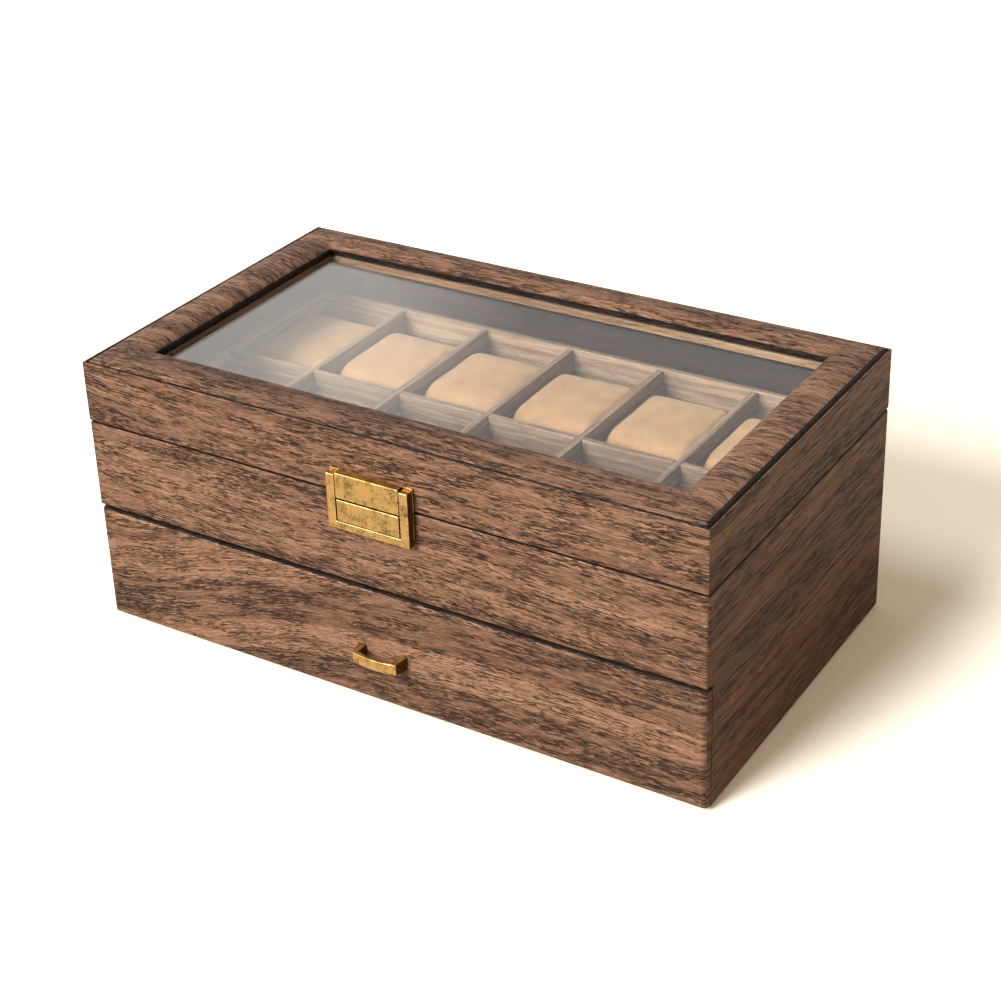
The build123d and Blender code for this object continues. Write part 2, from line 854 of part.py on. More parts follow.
def build():
    """Every node of the watch box, by name."""
    nodes = {
        "left_wall": case_side(-1),
        "right_wall": case_side(1),
        "upper_front_wall": upper_front(),
        "back_wall": case_back(),
        "base_panel": base_panel(),
        "base_felt": base_felt(),
        "deck_board": deck(),
        "drawer_stop_batten": stop_batten(),
        "drawer_glides": glides(),
        "compartment_liner": compartment_liner(),
        "compartment_floor_pad": compartment_floor(),
        "long_divider": long_divider(),
        "hinge_leaves_case": [base_leaf(-1), base_leaf(1)],
        "hinge_pins": hinge_pins(),
        "clasp_case_plate": clasp_base_plate(),
        "clasp_frame": clasp_frame(),
        "clasp_springs": clasp_springs(),
        "case_screws": screws("case"),
        "clasp_button": clasp_button(),
        "lid_left_wall": lid_side(-1),
        "lid_right_wall": lid_side(1),
        "lid_front_wall": lid_front(),
        "lid_back_wall": lid_back(),
        "lid_top_frame": lid_top_frame(),
        "lid_top_pad": lid_top_pad(),
        "glass_pane": glass_pane(),
        "glass_bead": glass_bead(),
        "hinge_leaves_lid": [lid_leaf(-1), lid_leaf(1)],
        "clasp_lid_plate": clasp_lid_plate(),
        "clasp_hook": clasp_hook(),
        "lid_screws": screws("lid"),
        "drawer_front": drawer_front(),
        "drawer_inner_front": drawer_inner_front(),
        "drawer_left_side": drawer_side(-1),
        "drawer_right_side": drawer_side(1),
        "drawer_back": drawer_back(),
        "drawer_bottom": drawer_bottom_board(),
        "drawer_floor_pad": drawer_floor(),
        "drawer_pull": drawer_pull(),
        "drawer_pull_screws": pull_screws(),
    }
    for number, x in enumerate(divider_columns(), 1):
        nodes[f"cross_divider_{number}"] = cross_divider(x)
    for number in range(1, drawer_compartments):
        nodes[f"drawer_divider_{number}"] = drawer_divider_board(number)
    for row, word in enumerate(("front", "back")):
        for column in range(columns):
            nodes[f"pillow_{word}_{column + 1}"] = pillow(row, column)
    return nodes


for node, solid in build().items():
    save(node, solid)
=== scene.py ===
"""A watch box in wood-grain leatherette: glazed lid, twelve pillows, brass clasp and a drawer."""
import math

import bmesh
import bpy
import numpy as np
from bpy.props import FloatProperty, FloatVectorProperty, IntProperty, PointerProperty
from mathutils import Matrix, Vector, noise


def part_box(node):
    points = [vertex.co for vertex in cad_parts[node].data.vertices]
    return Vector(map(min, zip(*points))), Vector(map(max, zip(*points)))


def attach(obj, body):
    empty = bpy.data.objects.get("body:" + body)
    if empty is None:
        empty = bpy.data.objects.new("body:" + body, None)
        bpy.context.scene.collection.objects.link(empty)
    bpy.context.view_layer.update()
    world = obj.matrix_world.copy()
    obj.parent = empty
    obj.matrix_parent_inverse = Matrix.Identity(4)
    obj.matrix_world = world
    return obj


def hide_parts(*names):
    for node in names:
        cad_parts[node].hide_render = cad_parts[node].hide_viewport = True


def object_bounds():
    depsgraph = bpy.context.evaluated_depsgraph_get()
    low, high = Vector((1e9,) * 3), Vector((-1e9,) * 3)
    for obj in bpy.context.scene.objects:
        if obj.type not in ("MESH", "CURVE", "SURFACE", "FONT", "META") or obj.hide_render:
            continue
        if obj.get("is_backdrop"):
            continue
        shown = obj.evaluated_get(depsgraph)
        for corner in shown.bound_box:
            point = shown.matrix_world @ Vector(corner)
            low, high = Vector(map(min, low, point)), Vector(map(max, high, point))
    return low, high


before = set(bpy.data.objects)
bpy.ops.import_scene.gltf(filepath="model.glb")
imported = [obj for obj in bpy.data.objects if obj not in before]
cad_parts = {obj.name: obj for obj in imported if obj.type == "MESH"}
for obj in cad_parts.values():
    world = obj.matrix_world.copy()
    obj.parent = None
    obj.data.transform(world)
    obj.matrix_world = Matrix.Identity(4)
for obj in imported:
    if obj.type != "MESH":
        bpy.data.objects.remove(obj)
cad_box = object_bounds()

bl_info = {
    "name": "Watch Box with Drawer",
    "version": (1, 0, 0),
    "blender": (4, 5, 0),
    "location": "View3D > Sidebar > Watch Box",
    "description": "Builds a leatherette watch box with a glazed lid, pillows and a drawer",
    "category": "Add Mesh",
}

MM = 0.001
NEAR = 0.1 * MM
FLAT = math.radians(0.5)
SMOOTH = math.radians(35)
SHARP = math.radians(32)

# Further out than any part of the box
FAR = 0.2


def linear(red, green, blue):
    """A colour written as three screen values from 0 to 255, as shaders take it."""
    shares = [value / 255 for value in (red, green, blue)]
    return tuple(s / 12.92 if s <= 0.04045 else ((s + 0.055) / 1.055) ** 2.4 for s in shares) + (1.0,)


def corners(*nodes):
    """The lowest and highest corners of some CAD nodes together."""
    boxes = [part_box(node) for node in nodes]
    low = Vector([min(box[0][k] for box in boxes) for k in range(3)])
    high = Vector([max(box[1][k] for box in boxes) for k in range(3)])
    return low, high


CASE_LOW, CASE_HIGH = corners("left_wall", "right_wall", "back_wall", "upper_front_wall")
LID_LOW, LID_HIGH = corners("lid_left_wall", "lid_right_wall", "lid_top_frame")
HALF_W = CASE_HIGH.x
HALF_D = CASE_HIGH.y
BAY_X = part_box("deck_board")[1].x
BAY_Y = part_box("deck_board")[1].y
FRONT_WALL_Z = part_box("upper_front_wall")[0].z
NOTCH_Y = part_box("base_panel")[0].y


# Sizes and colours that a user would change


def length(name, description, millimetres):
    """A size property, given in millimetres and kept in metres."""
    return FloatProperty(name=name, description=description, default=millimetres * MM, unit="LENGTH")


def colour(name, description, red, green, blue):
    """A colour property."""
    return FloatVectorProperty(
        name=name,
        description=description,
        default=linear(red, green, blue),
        size=4,
        min=0.0,
        max=1.0,
        subtype="COLOR",
    )


class BoxSizes(bpy.types.PropertyGroup):
    """Sizes of the covers' rounded edges and of the soft pieces."""

    edge: length("Edge", "Largest rounding of a covered edge", 2.2)
    drawer_edge: length("Drawer edge", "Rounding of the drawer front's face", 3.0)
    drawer_seam: length("Drawer seam", "How much lower the drawer front's cover ends", 0.7)
    lining_edge: length("Lining edge", "Rounding of the dividers and the liner", 0.5)
    board_edge: length("Board edge", "Rounding of the drawer's boards", 0.4)
    metal_edge: length("Metal edge", "Rounding of the brass pieces", 0.14)
    rim_gap: length("Rim gap", "Groove between the lid's rim and the pad", 0.3)
    pad_lip: length("Pad lip", "Height of the pad's side below its roll", 0.6)
    pad_tuck: length("Pad tuck", "How far the pad's foot turns in under its side", 0.5)
    pad_roll: length("Pad roll", "How far in the pad's outer edge rolls", 3.2)
    window_roll: length("Window roll", "How far in the pad rolls down to the window", 5.5)
    pad_crown: length("Pad crown", "How much the middle of the pad stands up", 2.0)
    pad_crinkle: length("Pad crinkle", "Depth of the fine creases at the window's edge", 0.35)
    pillow_shrink: length("Pillow shrink", "How much smaller a pillow starts than it ends", 0.9)
    pillow_cap: length("Pillow cap", "How far any point of a pillow may swell", 1.9)
    pillow_pressure: FloatProperty(
        name="Pillow pressure", description="Inner pressure that swells a pillow", default=4.0
    )
    cloth_frames: IntProperty(
        name="Cloth frames", description="Steps of the pillow's cloth run", default=20
    )


class BoxColours(bpy.types.PropertyGroup):
    """Colours of the finishes."""

    cover_light: colour("Cover light", "Light streaks of the cover", 196, 149, 118)
    cover_base: colour("Cover", "Ground colour of the cover", 172, 125, 97)
    cover_dark: colour("Cover dark", "Shade of the cover where its lines are dense", 104, 75, 57)
    cover_pore: colour("Cover pore", "Pressed lines and pores of the cover", 46, 30, 23)
    lining_light: colour("Lining light", "Light streaks of the lining", 184, 156, 130)
    lining_base: colour("Lining", "Ground colour of the lining", 146, 118, 96)
    lining_dark: colour("Lining dark", "Dark streaks of the lining", 98, 78, 65)
    suede: colour("Suede", "Nap of the pillows", 196, 157, 118)
    suede_dark: colour("Suede shade", "Brushed shade of the pillows", 162, 124, 88)
    velvet: colour("Velvet", "Lining of the drawer", 206, 176, 140)
    brass: colour("Brass", "Aged brass", 222, 182, 116)
    brass_wear_and_highlight: colour("Worn brass with highlight", "Rubbed edges of the brass, with a painted highlight", 232, 200, 128)
    brass_painted_shade: colour("Brass shade", "Painted shade on the brass's right and lower flanks", 96, 72, 36)
    brass_pit: colour("Brass pits", "Tarnish in the pits", 92, 66, 30)
    board: colour("Board", "Paper-covered board of the drawer and the bay", 122, 92, 72)
    felt: colour("Felt", "Felt under the box", 58, 48, 44)
    strip: colour("Slip strip", "Slippery strips in the bay", 214, 208, 196)
    steel: colour("Steel", "Springs and hidden screws", 176, 176, 180)
    floor: colour("Floor", "Floor under the box, as it is seen", 244, 238, 225)
    floor_dull: colour("Floor bounce", "How much of its light the floor gives back to the box", 150, 136, 116)
    floor_glow: colour("Floor glow", "What is added to the floor where it is seen", 96, 72, 44)


# Node trees


class Recipe:
    """A material's node tree, with short calls that add nodes and join them."""

    def __init__(self, name):
        self.material = bpy.data.materials.new(name)
        self.material.use_nodes = True
        self.tree = self.material.node_tree
        self.tree.nodes.clear()

    def add(self, kind, feeds=(), **settings):
        """Add a shader node, set it, and feed its inputs with sockets or constants."""
        node = self.tree.nodes.new("ShaderNode" + kind)
        for key, value in settings.items():
            setattr(node, key, value)
        for socket, value in dict(feeds).items():
            if isinstance(value, bpy.types.NodeSocket):
                self.tree.links.new(value, node.inputs[socket])
            else:
                node.inputs[socket].default_value = value
        return node

    def work(self, operation, first, second=0.0, clamp=False):
        """One step of arithmetic."""
        node = self.add("Math", {0: first, 1: second}, operation=operation, use_clamp=clamp)
        return node.outputs[0]

    def scaled(self, value, factor, middle=0.5):
        """A value about its middle, times a factor."""
        return self.work("MULTIPLY", self.work("SUBTRACT", value, middle), factor)

    def grain_space(self, along, across, u, v, layer):
        """A point for a texture that is stretched along the grain."""
        feeds = {0: self.work("MULTIPLY", u, along), 1: self.work("MULTIPLY", v, across), 2: layer}
        return self.add("CombineXYZ", feeds).outputs[0]

    def noise(self, point, scale=1.0, detail=2.0, rough=0.5):
        """A noise texture's strength."""
        feeds = {"Vector": point, "Scale": scale, "Detail": detail, "Roughness": rough}
        return self.add("TexNoise", feeds).outputs[0]

    def ramp(self, value, stops):
        """A colour ramp from its stops, each a place and a colour."""
        node = self.add("ValToRGB", {0: value})
        elements = node.color_ramp.elements
        elements[0].position, elements[0].color = stops[0]
        elements[1].position, elements[1].color = stops[-1]
        for place, tint in stops[1:-1]:
            elements.new(place).color = tint
        return node.outputs[0]

    def between(self, value, low, high):
        """A smooth step from 0 to 1 between two values."""
        feeds = {"Value": value, "From Min": low, "From Max": high}
        return self.add("MapRange", feeds, interpolation_type="SMOOTHSTEP").outputs[0]

    def mix(self, share, first, second, blend="MIX"):
        """Two colours mixed."""
        node = self.add("Mix", {0: share, 6: first, 7: second}, data_type="RGBA", blend_type=blend)
        return node.outputs[2]

    def bump(self, height, strength, distance):
        """A bumped normal from a height."""
        feeds = {"Strength": strength, "Distance": distance, "Height": height}
        return self.add("Bump", feeds).outputs[0]

    def close(self, shader):
        """Join a shader to the output and return the material."""
        self.add("OutputMaterial", {0: shader.outputs[0]})
        return self.material


def tints():
    """The scene's colour settings."""
    return bpy.context.scene.watch_box_colours


# A noise is flattest where a coordinate is whole
BETWEEN_CELLS = 0.43

# Each mark of the grain: its cells in a metre along and across, and its layer of the noise
GRAIN_MARKS = {
    "bend": (4.5, 10.0, 0.0),
    "wobble": (50.0, 130.0, 3.0),
    "streak": (9.0, 420.0, 7.0),
    "vein": (48.0, 1150.0, 9.0),
    "long stroke": (130.0, 2200.0, 15.0),
    "short stroke": (290.0, 2900.0, 17.0),
    "depth": (45.0, 240.0, 19.0),
    "fibre": (160.0, 3300.0, 21.0),
}
ZONE_ALONG = 2.6
ZONE_LAYER = 5.0
WOBBLE = 0.0014
FIGURE_SHARE = 0.65
FIGURE_ACROSS = (-0.17, 0.02)
FIGURE_UP = (-0.05, 0.07)
STROKE_RANGE = (0.55, 0.63)
VEIN_THIN = 0.015
VEIN_THICK = 0.035
CROWD_LIFT = 0.055
CROWD_SHADE = 0.2
FIBRE_SHADE = 0.16
PEBBLE_SCALE = 1500.0
PRESSED_DEEP = 0.2 * MM


def leatherette(name, layer, palette, wave, bands, figure=None, contrast=1.0, drawn_out=1.0):
    """Leatherette printed and pressed with wood grain: zones of long lines, short dashes and pores.

    figure is (rise, stops): how far the grain climbs from left to right, and zones given one by one.
    """
    light, ground, dark, pore = palette
    recipe = Recipe(name)
    place = recipe.add("UVMap", uv_map="grain").outputs[0]
    split = recipe.add("SeparateXYZ", {0: place})
    u, v = split.outputs[0], split.outputs[1]

    def field(along, across, offset, detail=1.0):
        point = recipe.grain_space(along / drawn_out, across, u, w, layer + offset + BETWEEN_CELLS)
        return recipe.noise(point, detail=detail)

    def mark_field(mark, detail=1.0):
        return field(*GRAIN_MARKS[mark], detail)

    w = v
    bend = recipe.scaled(mark_field("bend"), wave)
    bend = recipe.work("ADD", bend, recipe.scaled(mark_field("wobble"), WOBBLE))
    w = recipe.work("ADD", v, bend)
    zone = field(ZONE_ALONG, bands, ZONE_LAYER, 3.0)
    if figure:
        rise, stops = figure
        climb = recipe.work("MULTIPLY", recipe.between(u, *FIGURE_ACROSS), rise)
        w = recipe.work("SUBTRACT", w, climb)
        low, high = FIGURE_UP
        spot = recipe.add("MapRange", {"Value": w, "From Min": low, "From Max": high}).outputs[0]
        placed = recipe.ramp(spot, [(at, (grey, grey, grey, 1.0)) for at, grey in stops])
        loose = recipe.work("MULTIPLY", zone, 1.0 - FIGURE_SHARE)
        zone = recipe.work("ADD", loose, recipe.work("MULTIPLY", placed, FIGURE_SHARE))
    crowd = recipe.between(zone, 0.36, 0.64)

    def ridge(noise_field, thin, thick):
        """Thin lines where a field passes its middle, thicker where the grain is crowded."""
        gap = recipe.work("ABSOLUTE", recipe.work("SUBTRACT", noise_field, 0.5))
        width = recipe.work("ADD", thin, recipe.work("MULTIPLY", crowd, thick - thin))
        share = recipe.work("DIVIDE", gap, width, clamp=True)
        return recipe.work("SUBTRACT", 1.0, recipe.work("MULTIPLY", share, share))

    streak = recipe.between(mark_field("streak", 2.0), 0.35, 0.65)
    lift = recipe.work("MULTIPLY", crowd, CROWD_LIFT)

    def strokes(mark):
        """Separate short strokes, more of them where the grain is crowded."""
        raised = recipe.work("ADD", mark_field(mark), lift)
        return recipe.between(raised, *STROKE_RANGE)

    depth = recipe.work("ADD", 0.45, recipe.between(mark_field("depth"), 0.38, 0.62))
    depth = recipe.work("MINIMUM", depth, 1.0)
    fibre = recipe.between(mark_field("fibre"), 0.3, 0.7)
    vein = recipe.work("MULTIPLY", ridge(mark_field("vein"), VEIN_THIN, VEIN_THICK), 0.7)
    long_strokes = recipe.work("MULTIPLY", strokes("long stroke"), 0.9)
    short_strokes = recipe.work("MULTIPLY", strokes("short stroke"), depth)
    drawn = recipe.work("MULTIPLY", recipe.work("MAXIMUM", vein, long_strokes), depth)
    drawn = recipe.work("MULTIPLY", drawn, contrast)
    mark = recipe.work("MULTIPLY", short_strokes, 0.9 * contrast)
    shade = recipe.work("MULTIPLY", crowd, CROWD_SHADE)
    shade = recipe.work("ADD", shade, recipe.work("MULTIPLY", fibre, FIBRE_SHADE))
    shade = recipe.work("MULTIPLY", shade, contrast)
    plain = recipe.mix(shade, recipe.mix(streak, light, ground), dark)
    tint = recipe.mix(mark, recipe.mix(drawn, plain, pore), pore)
    pebble = recipe.noise(place, scale=PEBBLE_SCALE, detail=1.0)
    height = recipe.work("SUBTRACT", recipe.scaled(pebble, 0.35), mark)
    height = recipe.work("SUBTRACT", height, drawn)
    feeds = {
        "Base Color": tint,
        "Roughness": recipe.work("ADD", 0.42, recipe.work("MULTIPLY", mark, 0.25)),
        "Normal": recipe.bump(height, 1.0, PRESSED_DEEP),
        "Specular IOR Level": 0.24,
    }
    return recipe.close(recipe.add("BsdfPrincipled", feeds))


def cover_finish(name, layer, wave, bands, shade=(1.0, 1.0, 1.0), figure=None, drawn_out=1.0):
    """The outer leatherette, in the scene's cover colours, each channel times its shade; a shade below one
    darkens the colour as painted shade.
    """
    picked = [tints().cover_light, tints().cover_base, tints().cover_dark, tints().cover_pore]
    palette = [tuple(channel * part for channel, part in zip(tint, shade)) + (1.0,) for tint in picked]
    return leatherette(name, layer, palette, wave, bands, figure, drawn_out=drawn_out)


def lining_finish():
    """The thinner grain sheet on the liner and the dividers."""
    picked = [tints().lining_light, tints().lining_base, tints().lining_dark, tints().lining_dark]
    return leatherette("lining grain", 31.0, [tuple(tint) for tint in picked], 0.004, 160.0, contrast=0.42)


def object_point(recipe):
    """The point in the object's own space."""
    return recipe.add("TexCoord").outputs["Object"]


def brass_finish(name, tint, pits, rough):
    """Aged brass: cloudy, pitted and darker in its pits."""
    recipe = Recipe(name)
    point = object_point(recipe)
    cloud = recipe.noise(point, scale=210.0, detail=4.0, rough=0.65)
    speck = recipe.noise(point, scale=1500.0, detail=2.0, rough=0.6)
    pit = recipe.between(recipe.work("ADD", speck, recipe.scaled(cloud, 0.5)), 0.56, 0.70)
    darker = tuple(channel * 0.42 for channel in tint[:3]) + (1.0,)
    aged = recipe.mix(recipe.between(cloud, 0.4, 0.75), tuple(tint), darker)
    share = recipe.work("MULTIPLY", pit, pits)
    feeds = {
        "Base Color": recipe.mix(share, aged, tuple(tints().brass_pit)),
        "Metallic": 1.0,
        "Roughness": recipe.work("ADD", rough, recipe.work("MULTIPLY", pit, 0.25)),
        "Normal": recipe.bump(recipe.work("SUBTRACT", recipe.scaled(cloud, 0.6), pit), 0.35, 0.00012),
    }
    return recipe.close(recipe.add("BsdfPrincipled", feeds))


def suede_finish():
    """Brushed suede of the pillows, with a mottled nap."""
    recipe = Recipe("pillow suede")
    point = object_point(recipe)
    patch = recipe.noise(point, scale=95.0, detail=3.0, rough=0.6)
    nap = recipe.noise(point, scale=900.0, detail=2.0, rough=0.7)
    share = recipe.work("ADD", recipe.scaled(patch, 1.3), nap, clamp=True)
    feeds = {
        "Base Color": recipe.mix(share, tuple(tints().suede), tuple(tints().suede_dark)),
        "Roughness": recipe.work("ADD", 0.82, recipe.scaled(nap, 0.2)),
        "Normal": recipe.bump(nap, 0.35, 0.0003),
        "Sheen Weight": 0.25,
        "Sheen Roughness": 0.45,
        "Sheen Tint": (1.0, 0.9, 0.78, 1.0),
        "Specular IOR Level": 0.2,
    }
    return recipe.close(recipe.add("BsdfPrincipled", feeds))


def nap_finish(name, tint, depth, sheen):
    """Velvet or felt: a dense nap with lighter and darker strokes."""
    recipe = Recipe(name)
    point = object_point(recipe)
    stroke = recipe.noise(point, scale=60.0, detail=3.0, rough=0.55)
    pile = recipe.noise(point, scale=1400.0, detail=2.0, rough=0.7)
    darker = tuple(channel * depth for channel in tint[:3]) + (1.0,)
    share = recipe.work("ADD", recipe.scaled(stroke, 1.5), pile, clamp=True)
    feeds = {
        "Base Color": recipe.mix(share, tuple(tint), darker),
        "Roughness": recipe.work("ADD", 0.9, recipe.scaled(pile, 0.15)),
        "Normal": recipe.bump(pile, 0.4, 0.0003),
        "Sheen Weight": sheen,
        "Specular IOR Level": 0.15,
    }
    return recipe.close(recipe.add("BsdfPrincipled", feeds))


def board_finish():
    """Thin board under dark paper: fine level fibres."""
    recipe = Recipe("drawer board")
    point = recipe.add("Mapping", {0: object_point(recipe), 3: (14.0, 14.0, 260.0)}).outputs[0]
    fibre = recipe.noise(point, scale=1.0, detail=5.0, rough=0.65)
    speck = recipe.noise(object_point(recipe), scale=700.0, detail=2.0)
    darker = tuple(channel * 0.72 for channel in tints().board[:3]) + (1.0,)
    share = recipe.work("ADD", recipe.between(fibre, 0.35, 0.7), recipe.scaled(speck, 0.4), clamp=True)
    feeds = {
        "Base Color": recipe.mix(share, tuple(tints().board), darker),
        "Roughness": recipe.work("ADD", 0.62, recipe.scaled(speck, 0.2)),
        "Normal": recipe.bump(fibre, 0.2, 0.0002),
    }
    return recipe.close(recipe.add("BsdfPrincipled", feeds))


def strip_finish():
    """Slippery plastic, lightly rubbed along the way the drawer runs."""
    recipe = Recipe("slip strip")
    point = recipe.add("Mapping", {0: object_point(recipe), 3: (900.0, 12.0, 900.0)}).outputs[0]
    rub = recipe.noise(point, scale=1.0, detail=3.0)
    darker = tuple(channel * 0.86 for channel in tints().strip[:3]) + (1.0,)
    feeds = {
        "Base Color": recipe.mix(rub, tuple(tints().strip), darker),
        "Roughness": recipe.work("ADD", 0.3, recipe.scaled(rub, 0.3)),
        "Normal": recipe.bump(rub, 0.1, 0.0001),
    }
    return recipe.close(recipe.add("BsdfPrincipled", feeds))


def steel_finish():
    """Plain drawn steel."""
    recipe = Recipe("drawn steel")
    point = object_point(recipe)
    smear = recipe.noise(point, scale=600.0, detail=3.0)
    darker = tuple(channel * 0.6 for channel in tints().steel[:3]) + (1.0,)
    feeds = {
        "Base Color": recipe.mix(smear, tuple(tints().steel), darker),
        "Metallic": 1.0,
        "Roughness": recipe.work("ADD", 0.3, recipe.scaled(smear, 0.2)),
    }
    return recipe.close(recipe.add("BsdfPrincipled", feeds))


def glass_finish():
    """Clear glass that lets lamps through to what is under it."""
    recipe = Recipe("window glass")
    glass = recipe.add(
        "BsdfPrincipled",
        {
            "Base Color": (0.97, 0.98, 0.97, 1.0),
            "Roughness": 0.0,
            "IOR": 1.5,
            "Transmission Weight": 1.0,
        },
    )
    clear = recipe.add("BsdfTransparent", {0: (0.93, 0.94, 0.93, 1.0)})
    lamp = recipe.add("LightPath").outputs["Is Shadow Ray"]
    mixed = recipe.add("MixShader", {0: lamp, 1: glass.outputs[0], 2: clear.outputs[0]})
    return recipe.close(mixed)


def floor_finish():
    """A pale floor: white to the camera, apart from the box's shadow, and duller to the box."""
    recipe = Recipe("pale floor")
    path = recipe.add("LightPath")
    seen = recipe.work("ADD", path.outputs["Is Camera Ray"], path.outputs["Is Glossy Ray"])
    seen = recipe.work("ADD", seen, path.outputs["Is Transmission Ray"], clamp=True)
    direct = recipe.work("LESS_THAN", path.outputs["Diffuse Depth"], 0.5)
    seen = recipe.work("MULTIPLY", seen, direct)
    pale = recipe.add("BsdfDiffuse", {0: tuple(tints().floor)})
    glow = recipe.add("Emission", {0: tuple(tints().floor_glow), 1: 1.0})
    bright = recipe.add("AddShader", {0: pale.outputs[0], 1: glow.outputs[0]})
    brighter = recipe.add("AddShader", {0: pale.outputs[0], 1: bright.outputs[0]})
    bright = recipe.add(
        "MixShader", {0: path.outputs["Is Camera Ray"], 1: bright.outputs[0], 2: brighter.outputs[0]}
    )
    dull = recipe.add("BsdfDiffuse", {0: tuple(tints().floor_dull)})
    mixed = recipe.add("MixShader", {0: seen, 1: dull.outputs[0], 2: bright.outputs[0]})
    return recipe.close(mixed)


def veil_finish():
    """A card that only mirrors see, brighter than the surroundings and fading out to its rim."""
    recipe = Recipe("veil card")
    middle = recipe.add("Mapping", {0: object_point(recipe), 1: tuple(-value for value in VEIL_PLACE)})
    gap = recipe.add("VectorMath", {0: middle.outputs[0]}, operation="LENGTH").outputs["Value"]
    fade = recipe.between(gap, VEIL_SIZE * 0.5, VEIL_SIZE * 0.22)
    mirrored = recipe.add("LightPath").outputs["Is Glossy Ray"]
    share = recipe.work("MULTIPLY", fade, mirrored)
    clear = recipe.add("BsdfTransparent", {0: (1.0, 1.0, 1.0, 1.0)})
    glow = recipe.add("Emission", {0: (1.0, 0.96, 0.9, 1.0), 1: VEIL_STRENGTH})
    mixed = recipe.add("MixShader", {0: share, 1: clear.outputs[0], 2: glow.outputs[0]})
    return recipe.close(mixed)


# The drawer's grain climbs to the right; each stop is a place up the front and how dense its lines are
DRAWER_CLIMB = 34 * MM
DRAWER_ZONES = [
    (0.0, 0.85),
    (0.30, 0.9),
    (0.345, 0.1),
    (0.45, 0.05),
    (0.49, 0.85),
    (0.62, 0.8),
    (0.68, 0.3),
    (1.0, 0.6),
]
DRAWER_FIGURE = (DRAWER_CLIMB, DRAWER_ZONES)

# Each cover: its layer of the noise, how far its lines wave and how narrow its zones are
FINISHES = {
    "cover front": lambda: cover_finish("cover front", 1.0, 0.016, 80.0),
    # The sides' cover: its grain drawn out longer, and its colour darkened and browned as painted shade
    "cover side with painted shade": lambda: cover_finish("cover side with painted shade", 11.0, 0.004, 120.0, (0.94, 0.83, 0.72), drawn_out=2.6),
    "cover top": lambda: cover_finish("cover top", 21.0, 0.012, 90.0),
    "cover drawer": lambda: cover_finish("cover drawer", 41.0, 0.022, 62.0, figure=DRAWER_FIGURE),
    # A copy of the cover at a fifth of its brightness: painted shade on the faces inside the case
    "cover inside painted shade": lambda: cover_finish("cover inside painted shade", 51.0, 0.010, 120.0, (0.2, 0.2, 0.2)),
    # A near-black copy of the cover, about a tenth as bright: painted shade for the seams, the grooves, the
    # pad's foot and the drawer's top edge
    "cover painted shade": lambda: cover_finish("cover painted shade", 61.0, 0.010, 120.0, (0.09, 0.08, 0.07)),
    "lining grain": lining_finish,
    "aged brass": lambda: brass_finish("aged brass", tints().brass, 0.9, 0.34),
    # Brighter, glossier brass for the rounded edges: partly wear, partly a painted highlight
    "worn brass with painted highlight": lambda: brass_finish("worn brass with painted highlight", tints().brass_wear_and_highlight, 0.35, 0.26),
    # Brass darkened as painted shade, for the flanks that look away from the lamps
    "brass painted shade": lambda: brass_finish("brass painted shade", tints().brass_painted_shade, 0.9, 0.45),
    "pillow suede": suede_finish,
    "drawer velvet": lambda: nap_finish("drawer velvet", tints().velvet, 0.8, 0.15),
    "base felt": lambda: nap_finish("base felt", tints().felt, 0.6, 0.2),
    "drawer board": board_finish,
    "slip strip": strip_finish,
    "drawn steel": steel_finish,
    "window glass": glass_finish,
    "pale floor": floor_finish,
    "veil card": veil_finish,
}


def finish(name):
    """The named finish, made the first time that it is asked for."""
    return bpy.data.materials.get(name) or FINISHES[name]()


def dress(piece, *names):
    """Give a piece or a CAD node its finishes in place of what it has."""
    piece.data.materials.clear()
    for name in names:
        piece.data.materials.append(finish(name))


# Modelling


def only(piece=None):
    """Leave edit mode and select nothing but one piece."""
    if bpy.context.object and bpy.context.object.mode != "OBJECT":
        bpy.ops.object.mode_set(mode="OBJECT")
    bpy.ops.object.select_all(action="DESELECT")
    if piece:
        piece.select_set(True)
        bpy.context.view_layer.objects.active = piece


def pick(piece, kind, parts, chosen):
    """Enter edit mode with only the edges or faces selected that pass a test."""
    only(piece)
    bpy.ops.object.mode_set(mode="EDIT")
    bpy.ops.mesh.select_mode(type=kind)
    bpy.ops.mesh.select_all(action="DESELECT")
    bpy.ops.object.mode_set(mode="OBJECT")
    for part in parts:
        part.select = chosen(part)
    bpy.ops.object.mode_set(mode="EDIT")


def modify(piece, kind, **settings):
    """Add a modifier to a piece, set it and apply it."""
    modifier = piece.modifiers.new(kind.lower(), kind)
    for key, value in settings.items():
        setattr(modifier, key, value)
    only(piece)
    bpy.ops.object.modifier_apply(modifier=modifier.name)


def settled(piece):
    """Put a piece's place into its mesh."""
    only(piece)
    bpy.ops.object.transform_apply(location=True, rotation=True, scale=True)
    return piece


def add_block(name, low, high):
    """A cube primitive stretched between two corners."""
    only()
    low, high = Vector(low), Vector(high)
    bpy.ops.mesh.primitive_cube_add(size=1, location=(low + high) / 2, scale=high - low)
    piece = bpy.context.object
    piece.name = name
    return settled(piece)


def cut_away(piece, cutter):
    """Cut one solid out of a piece and drop the cutter."""
    modify(piece, "BOOLEAN", object=cutter, operation="DIFFERENCE", solver="EXACT")
    bpy.data.objects.remove(cutter)


def carve(piece, low, high):
    """Cut a block out of a piece."""
    cut_away(piece, add_block("cutter", low, high))


def bore(piece, centre, radius, deep):
    """Cut a round pocket into a piece along Y."""
    only()
    bpy.ops.mesh.primitive_cylinder_add(
        vertices=32, radius=radius, depth=deep, location=centre, rotation=(math.pi / 2, 0, 0)
    )
    cut_away(piece, settled(bpy.context.object))


